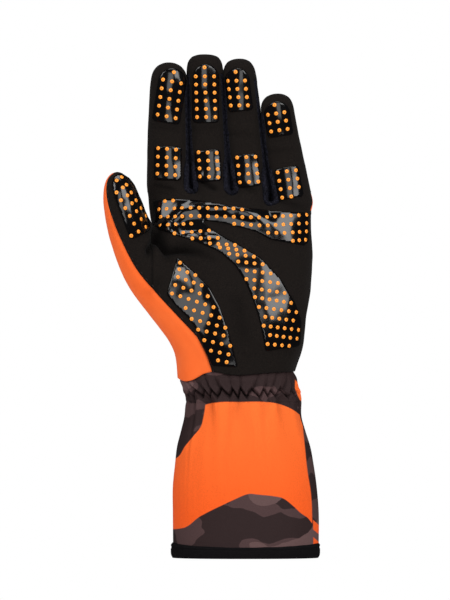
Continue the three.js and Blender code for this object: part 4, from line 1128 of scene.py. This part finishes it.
def scatter(name, group, places, facing, along, sizes, material):
    cloud = bpy.data.meshes.new(name)
    cloud.from_pydata([tuple(p) for p in places], [], [])
    for label, values in (("facing", facing), ("along", along)):
        cloud.attributes.new(label, "FLOAT_VECTOR", "POINT").data.foreach_set(
            "vector", np.array([tuple(v) for v in values], dtype=np.float32).ravel())
    source = linked(name, cloud)
    modifier = source.modifiers.new("Scatter", "NODES")
    modifier.node_group = group
    inputs = dict(Length=sizes[0], Width=sizes[1], Height=sizes[2], Material=material)
    for item in group.interface.items_tree:
        if item.in_out == "INPUT" and item.name in inputs:
            modifier[item.identifier] = inputs[item.name]
    piece = newObject(name, baked(source), material)
    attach(piece, "root")


scatterNodes = scatterGroup("scatter", 12, 6)
scatter("grip_dots", scatterNodes, dotPlaces, dotFacing, [(1, 0, 0)] * len(dotPlaces),
        (dot["radius"], dot["radius"], dot["height"]), look["dot"])

# Stitches run beside the seams between suede and orange, on the suede
stitch = dict(every=4, inset=0.0014, length=0.0011, width=0.00022, height=0.00016, clear=0.00004)
stitchPlaces, stitchFacing, stitchAlong = [], [], []
suedePieces = [names.index(n) for n in ("palm_panel", "thumb_front")]
orangePieces = [names.index(n) for n in ("thumb_side_panel", "back_panel")]
for count, (a, b, first, second) in enumerate(seamEdges):
    pair = (pieceOf[first], pieceOf[second])
    if not (set(pair) & set(suedePieces)) or not (set(pair) & set(orangePieces)) or count % stitch["every"]:
        continue
    middle = Vector((skinPlaces[a] + skinPlaces[b]) / 2)
    along = Vector(skinPlaces[b] - skinPlaces[a]).normalized()
    owner = first if pieceOf[first] in suedePieces else second
    inward = Vector(skinPlaces[quads[owner]].mean(axis=0)) - middle
    inward = (inward - along * inward.dot(along)).normalized()
    hit, normal, _, _ = skinTree.find_nearest(middle + inward * stitch["inset"])
    stitchPlaces.append(hit + normal * stitch["clear"])
    stitchFacing.append(normal)
    stitchAlong.append(along)
scatter("seam_stitches", scatterNodes, stitchPlaces, stitchFacing, stitchAlong,
        (stitch["length"], stitch["width"], stitch["height"]), look["thread"])
print("stitches", len(stitchPlaces))

# The gathered wrist and the sleeve are one cloth, cut where the nodes part
sleeveRows = rows(
    "up left right depth",
    (0.0, -0.5, 0.5, 0.5), (0.22, -0.5, 0.5, 0.5), (0.4, -0.5, 0.487, 0.495), (0.56, -0.486, 0.466, 0.48),
    (0.68, -0.473, 0.445, 0.46), (0.79, -0.445, 0.411, 0.43), (0.9, -0.418, 0.377, 0.4),
    (1.0, -0.412, 0.365, 0.383),
)
# The elastic draws the cloth in along a zigzag line; above it the pleats fan out by the two leans
gather = dict(teeth=31, period=0.0064, line=0.09725, zigzag=0.0042, pinch=0.0019, pinchReach=0.0060,
              groove=0.0022, grooveWidth=0.0011, roll=0.0006, rollOffset=0.0024, rollWidth=0.0013,
              pleat=0.0029, pleatFade=0.0080, lower=0.0018, lowerFade=0.0055, leanLeft=-0.55, leanRight=0.72,
              long=0.0030, longTeeth=2.6, longFade=0.016, puff=0.0010, puffLevel=0.0945, puffReach=0.0095)


def trunkSize(z):
    up = (z - size["hemHeight"]) / size["sleeveHeight"]
    depth = read(sleeveRows, "up", up, "depth") * size["cuffDepth"]
    made = dict(left=read(sleeveRows, "up", up, "left") * size["cuffWidth"],
                right=read(sleeveRows, "up", up, "right") * size["cuffWidth"], front=depth, back=depth)
    if z > gatherLevel:
        t = min((z - gatherLevel) / size["gatherHeight"], 1)
        palm = palmRows[0]
        above = dict(left=palm["left"] * breadth, right=palm["right"] * breadth,
                     front=palm["front"] * depthScale, back=palm["back"] * depthScale)
        made = {key: mix(made[key], above[key], t) for key in made}
    return made


def trunkRing(section, angles, swell):
    c, s = np.cos(angles), np.sin(angles)
    wide = np.sign(c) * np.abs(c) ** (2 / fullness)
    deep = np.sign(s) * np.abs(s) ** (2 / fullness)
    half = (section["right"] - section["left"]) / 2
    x = (section["left"] + section["right"]) / 2 + wide * (half + swell)
    y = deep * (np.where(deep < 0, section["front"], section["back"]) + swell)
    return x, y, (wide + 1) / 2


def arcShares(angles, section):
    x, y, _ = trunkRing(section, angles, 0)
    steps = np.hypot(np.diff(x, append=x[0]), np.diff(y, append=y[0]))
    return np.concatenate(([0], np.cumsum(steps)[:-1])) / steps.sum()


def ripple(values, seed, scale):
    # A closed wavy line round the wrist
    turns = [v * 2 * math.pi for v in values]
    return np.array([noise.noise(Vector((math.cos(t) * scale, math.sin(t) * scale, seed))) for t in turns])


def clothRelief(cloth, z):
    phase = gather["teeth"] * cloth["shares"] + 0.35 * cloth["jitter"]
    tooth = np.abs(2 * (phase % 1) - 1)
    line = gather["line"] + gather["zigzag"] * (tooth - 0.5) * (1 + 0.5 * cloth["strength"])
    off = z - line
    above, below = max(z - gather["line"], 0), max(gather["line"] - z, 0)
    swell = -gather["pinch"] * bell(z - gather["line"], gather["pinchReach"]) * (1 - cloth["right"])
    swell -= gather["groove"] * bell(off, gather["grooveWidth"])
    for offset in (gather["rollOffset"], -gather["rollOffset"]):
        swell += gather["roll"] * bell(off - offset, gather["rollWidth"])
    leaning = phase - cloth["lean"] * above / gather["period"]
    crest = np.abs(np.sin(math.pi * leaning)) ** 0.6 - 0.66
    fadeUp = math.exp(-above / gather["pleatFade"]) * smooth(-0.001, 0.001, off)
    swell += gather["pleat"] * (1 + 0.9 * cloth["strength"]) * crest * fadeUp
    between = phase + 0.5 + 0.2 * cloth["slant"] * below / gather["period"]
    low = np.abs(np.sin(math.pi * between)) ** 0.7 - 0.64
    fadeDown = math.exp(-below / gather["lowerFade"]) * smooth(0.001, -0.001, off)
    swell += gather["lower"] * (1 + 0.9 * cloth["strength"]) * low * fadeDown
    wander = 0.4 * cloth["soft"] + cloth["slant"] * below * 30
    longFold = np.sin(2 * math.pi * (phase / gather["longTeeth"] + wander))
    loose = (0.6 + cloth["soft"]) * (1 - 0.7 * cloth["right"])
    fadeLong = smooth(0, 0.006, below) * math.exp(-below / gather["longFade"])
    swell += gather["long"] * longFold * loose * fadeLong
    # painted shade: darker in the zigzag groove, in the pleats' valleys and in the long folds below
    foldShade = bell(off, 0.0008) - 0.9 * crest * fadeUp - 0.8 * low * fadeDown
    foldShade += 0.45 * np.clip(-longFold, 0, 1) * smooth(0, 0.004, below) * math.exp(-below / 0.013)
    cloth["deep"] = np.clip(foldShade, 0, 1)
    return swell + gather["puff"] * cloth["right"] * bell(z - gather["puffLevel"], gather["puffReach"])


def tubePiece(name, node, levels, count, reliefAt, levelAt, material, wall, cloth=None):
    angles = math.pi + 2 * math.pi * np.arange(count) / count
    rings, paintedShades = [], []
    for z in levels:
        x, y, across = trunkRing(trunkSize(z), angles, reliefAt(z, 0))
        rings.append(np.stack((x, y, levelAt(z, across)), axis=1))
        paintedShades.append(cloth["deep"] if cloth else np.zeros(count))
    inner = levels[::-4]
    inner = inner if inner[-1] == levels[0] else np.append(inner, levels[0])
    for z in inner:
        x, y, across = trunkRing(trunkSize(z), angles, reliefAt(z, wall))
        rings.append(np.stack((x, y, levelAt(z, across)), axis=1))
    total = len(rings)
    first = np.arange(total * count).reshape(total, count)
    above = np.roll(first, -1, axis=0)
    made = np.stack((first, np.roll(first, -1, axis=1), np.roll(above, -1, axis=1), above), axis=-1)
    # the painted shade of the folds, for the outer rings only
    deep = np.zeros(total * count)
    deep[:len(levels) * count] = np.concatenate(paintedShades)
    addPiece(name, node, np.vstack(rings), made.reshape(-1, 4).tolist(), material, deep)


def clothTables(count):
    angles = math.pi + 2 * math.pi * np.arange(count) / count
    shares = arcShares(angles, trunkSize(gather["line"]))
    across = (np.sign(np.cos(angles)) * np.abs(np.cos(angles)) ** (2 / fullness) + 1) / 2
    front = np.clip(-2.5 * np.sin(angles), -1, 1)
    middle = smooth(0.1, 0.9, across)
    return dict(shares=shares, lean=mix(gather["leanLeft"], gather["leanRight"], middle) * front,
                right=smooth(0.8, 0.98, across),
                jitter=ripple(shares, 1.7, 4), strength=ripple(shares, 5.2, 6),
                slant=ripple(shares, 9.1, 3), soft=ripple(shares, 12.4, 2.2))


gatherCount, sleeveCount = 900, 600
sleeve = dict(tuck=0.0028, rings=96, sway=0.0006, swayScale=1.6, swayRate=22)
gatherCloth, sleeveCloth = clothTables(gatherCount), clothTables(sleeveCount)
wristEdge = np.array([read(edgeRows, "across", a, "wrist") for a in np.linspace(0, 1, 101)]) * palmLength


def gatherLevelAt(z, across):
    top = wristLevel + np.interp(across, np.linspace(0, 1, 101), wristEdge) + 0.0035
    t = (z - gatherLevel) / size["gatherHeight"]
    return z + (top - wristLevel) * smooth(0.45, 1, t)


def gatherRelief(z, wall):
    t = (z - gatherLevel) / size["gatherHeight"]
    return clothRelief(gatherCloth, z) - 0.0002 - 0.0020 * smooth(0.68, 0.9, t) - wall


def sleeveRelief(z, wall):
    body = sleeve["sway"] * ripple(sleeveCloth["shares"], z * sleeve["swayRate"], sleeve["swayScale"])
    calm = smooth(0.088, 0.070, z)
    return clothRelief(sleeveCloth, z) - 0.0002 + body * (0.4 + 0.6 * calm) - wall


gatherLevels = np.concatenate((np.linspace(gatherLevel, 0.0942, 8), np.linspace(0.0944, 0.1001, 30),
                               np.linspace(0.1004, wristLevel, 20)))
tubePiece("wrist_gather_cloth", "wrist_gather", gatherLevels, gatherCount,
          gatherRelief, gatherLevelAt, look["sleeve"], size["wall"], gatherCloth)
sleeveLevels = np.linspace(size["hemHeight"] - sleeve["tuck"], gatherLevel, sleeve["rings"])
tubePiece("cuff_sleeve_cloth", "cuff_sleeve", sleeveLevels, sleeveCount, sleeveRelief,
          lambda z, across: np.full(len(across), z), look["sleeve"], size["wall"], sleeveCloth)

# The hem is a folded band with a soft top edge
hem = dict(bulge=0.0011, wall=0.0028, count=600, rings=24)
hemWave = ripple(clothTables(hem["count"])["shares"], 3.3, 5)


def hemRelief(z, wall):
    t = z / size["hemHeight"]
    body = hem["bulge"] * (1 - abs(2 * t - 1) ** 3) - 0.0002
    row = -0.0004 * bell(t - 0.70, 0.05) + 0.0003 * bell(t - 0.86, 0.08)
    return body + row + 0.0001 * hemWave - (wall and hem["wall"]) * (1 - 0.25 * abs(2 * t - 1) ** 4)


def hemLevelAt(z, across):
    # the top edge stands a little higher at the two sides than in the middle
    top = smooth(0.4, 1, z / size["hemHeight"])
    return z + top * (0.0003 * hemWave + 0.0006 - 0.0021 * (1 - (2 * across - 1) ** 4))


hemLevels = size["hemHeight"] * (0.5 - 0.5 * np.cos(np.linspace(0, math.pi, hem["rings"])))
tubePiece("hem_band_cloth", "hem_band", hemLevels, hem["count"], hemRelief, hemLevelAt, look["hem"], 1)
print("wrist, sleeve and hem")

# White surroundings and soft lights
floorMesh = bpy.data.meshes.new("floor")
floorCorners = [(x, y, -0.0004) for x, y in ((-3, -3), (3, -3), (3, 3), (-3, 3))]
floorMesh.from_pydata(floorCorners, [], [(0, 1, 2, 3)])
white = bpy.data.materials.new("white_sweep")
white.use_nodes = True
white.node_tree.nodes.clear()
glow = addNode(white.node_tree, "ShaderNodeEmission", {"Color": (1, 1, 1, 1), "Strength": 1.0})
addNode(white.node_tree, "ShaderNodeOutputMaterial", {"Surface": glow.outputs[0]})
floor = newObject("floor", floorMesh, white)
floor.visible_glossy = False

world = bpy.data.worlds.new("world")
bpy.context.scene.world = world
world.use_nodes = True
world.node_tree.nodes.clear()
seen = addNode(world.node_tree, "ShaderNodeLightPath")
unseen = addNode(world.node_tree, "ShaderNodeMapRange", {"Value": seen.outputs["Is Glossy Ray"],
                                                         "To Min": 0.38, "To Max": 0.03})
strength = addNode(world.node_tree, "ShaderNodeMapRange", {"Value": seen.outputs["Is Camera Ray"],
                                                           "To Min": unseen.outputs[0], "To Max": 1.0})
sky = addNode(world.node_tree, "ShaderNodeBackground",
              {"Color": (1, 1, 1, 1), "Strength": strength.outputs[0]})
addNode(world.node_tree, "ShaderNodeOutputWorld", {"Surface": sky.outputs[0]})

lights = rows(
    "name place target width height power",
    ("key", (0.75, -1.1, 0.75), (0, 0, 0.15), 0.7, 0.8, 10.4),
    ("fill", (-0.95, -1.0, 0.95), (0, 0, 0.15), 0.6, 0.8, 8.2),
    ("front", (0.12, -2.2, 0.35), (0, 0, 0.15), 0.75, 1.3, 8.0),
    ("top", (0.0, -0.3, 1.3), (0, 0, 0.15), 0.6, 0.4, 4),
)
for row in lights:
    lamp = bpy.data.lights.new(row["name"], "AREA")
    lamp.shape = "RECTANGLE"
    lamp.size, lamp.size_y, lamp.energy = row["width"], row["height"], row["power"]
    lampObject = linked(row["name"], lamp)
    lampObject.location = row["place"]
    aim = Vector(row["target"]) - Vector(row["place"])
    lampObject.rotation_euler = aim.to_track_quat("-Z", "Y").to_euler()
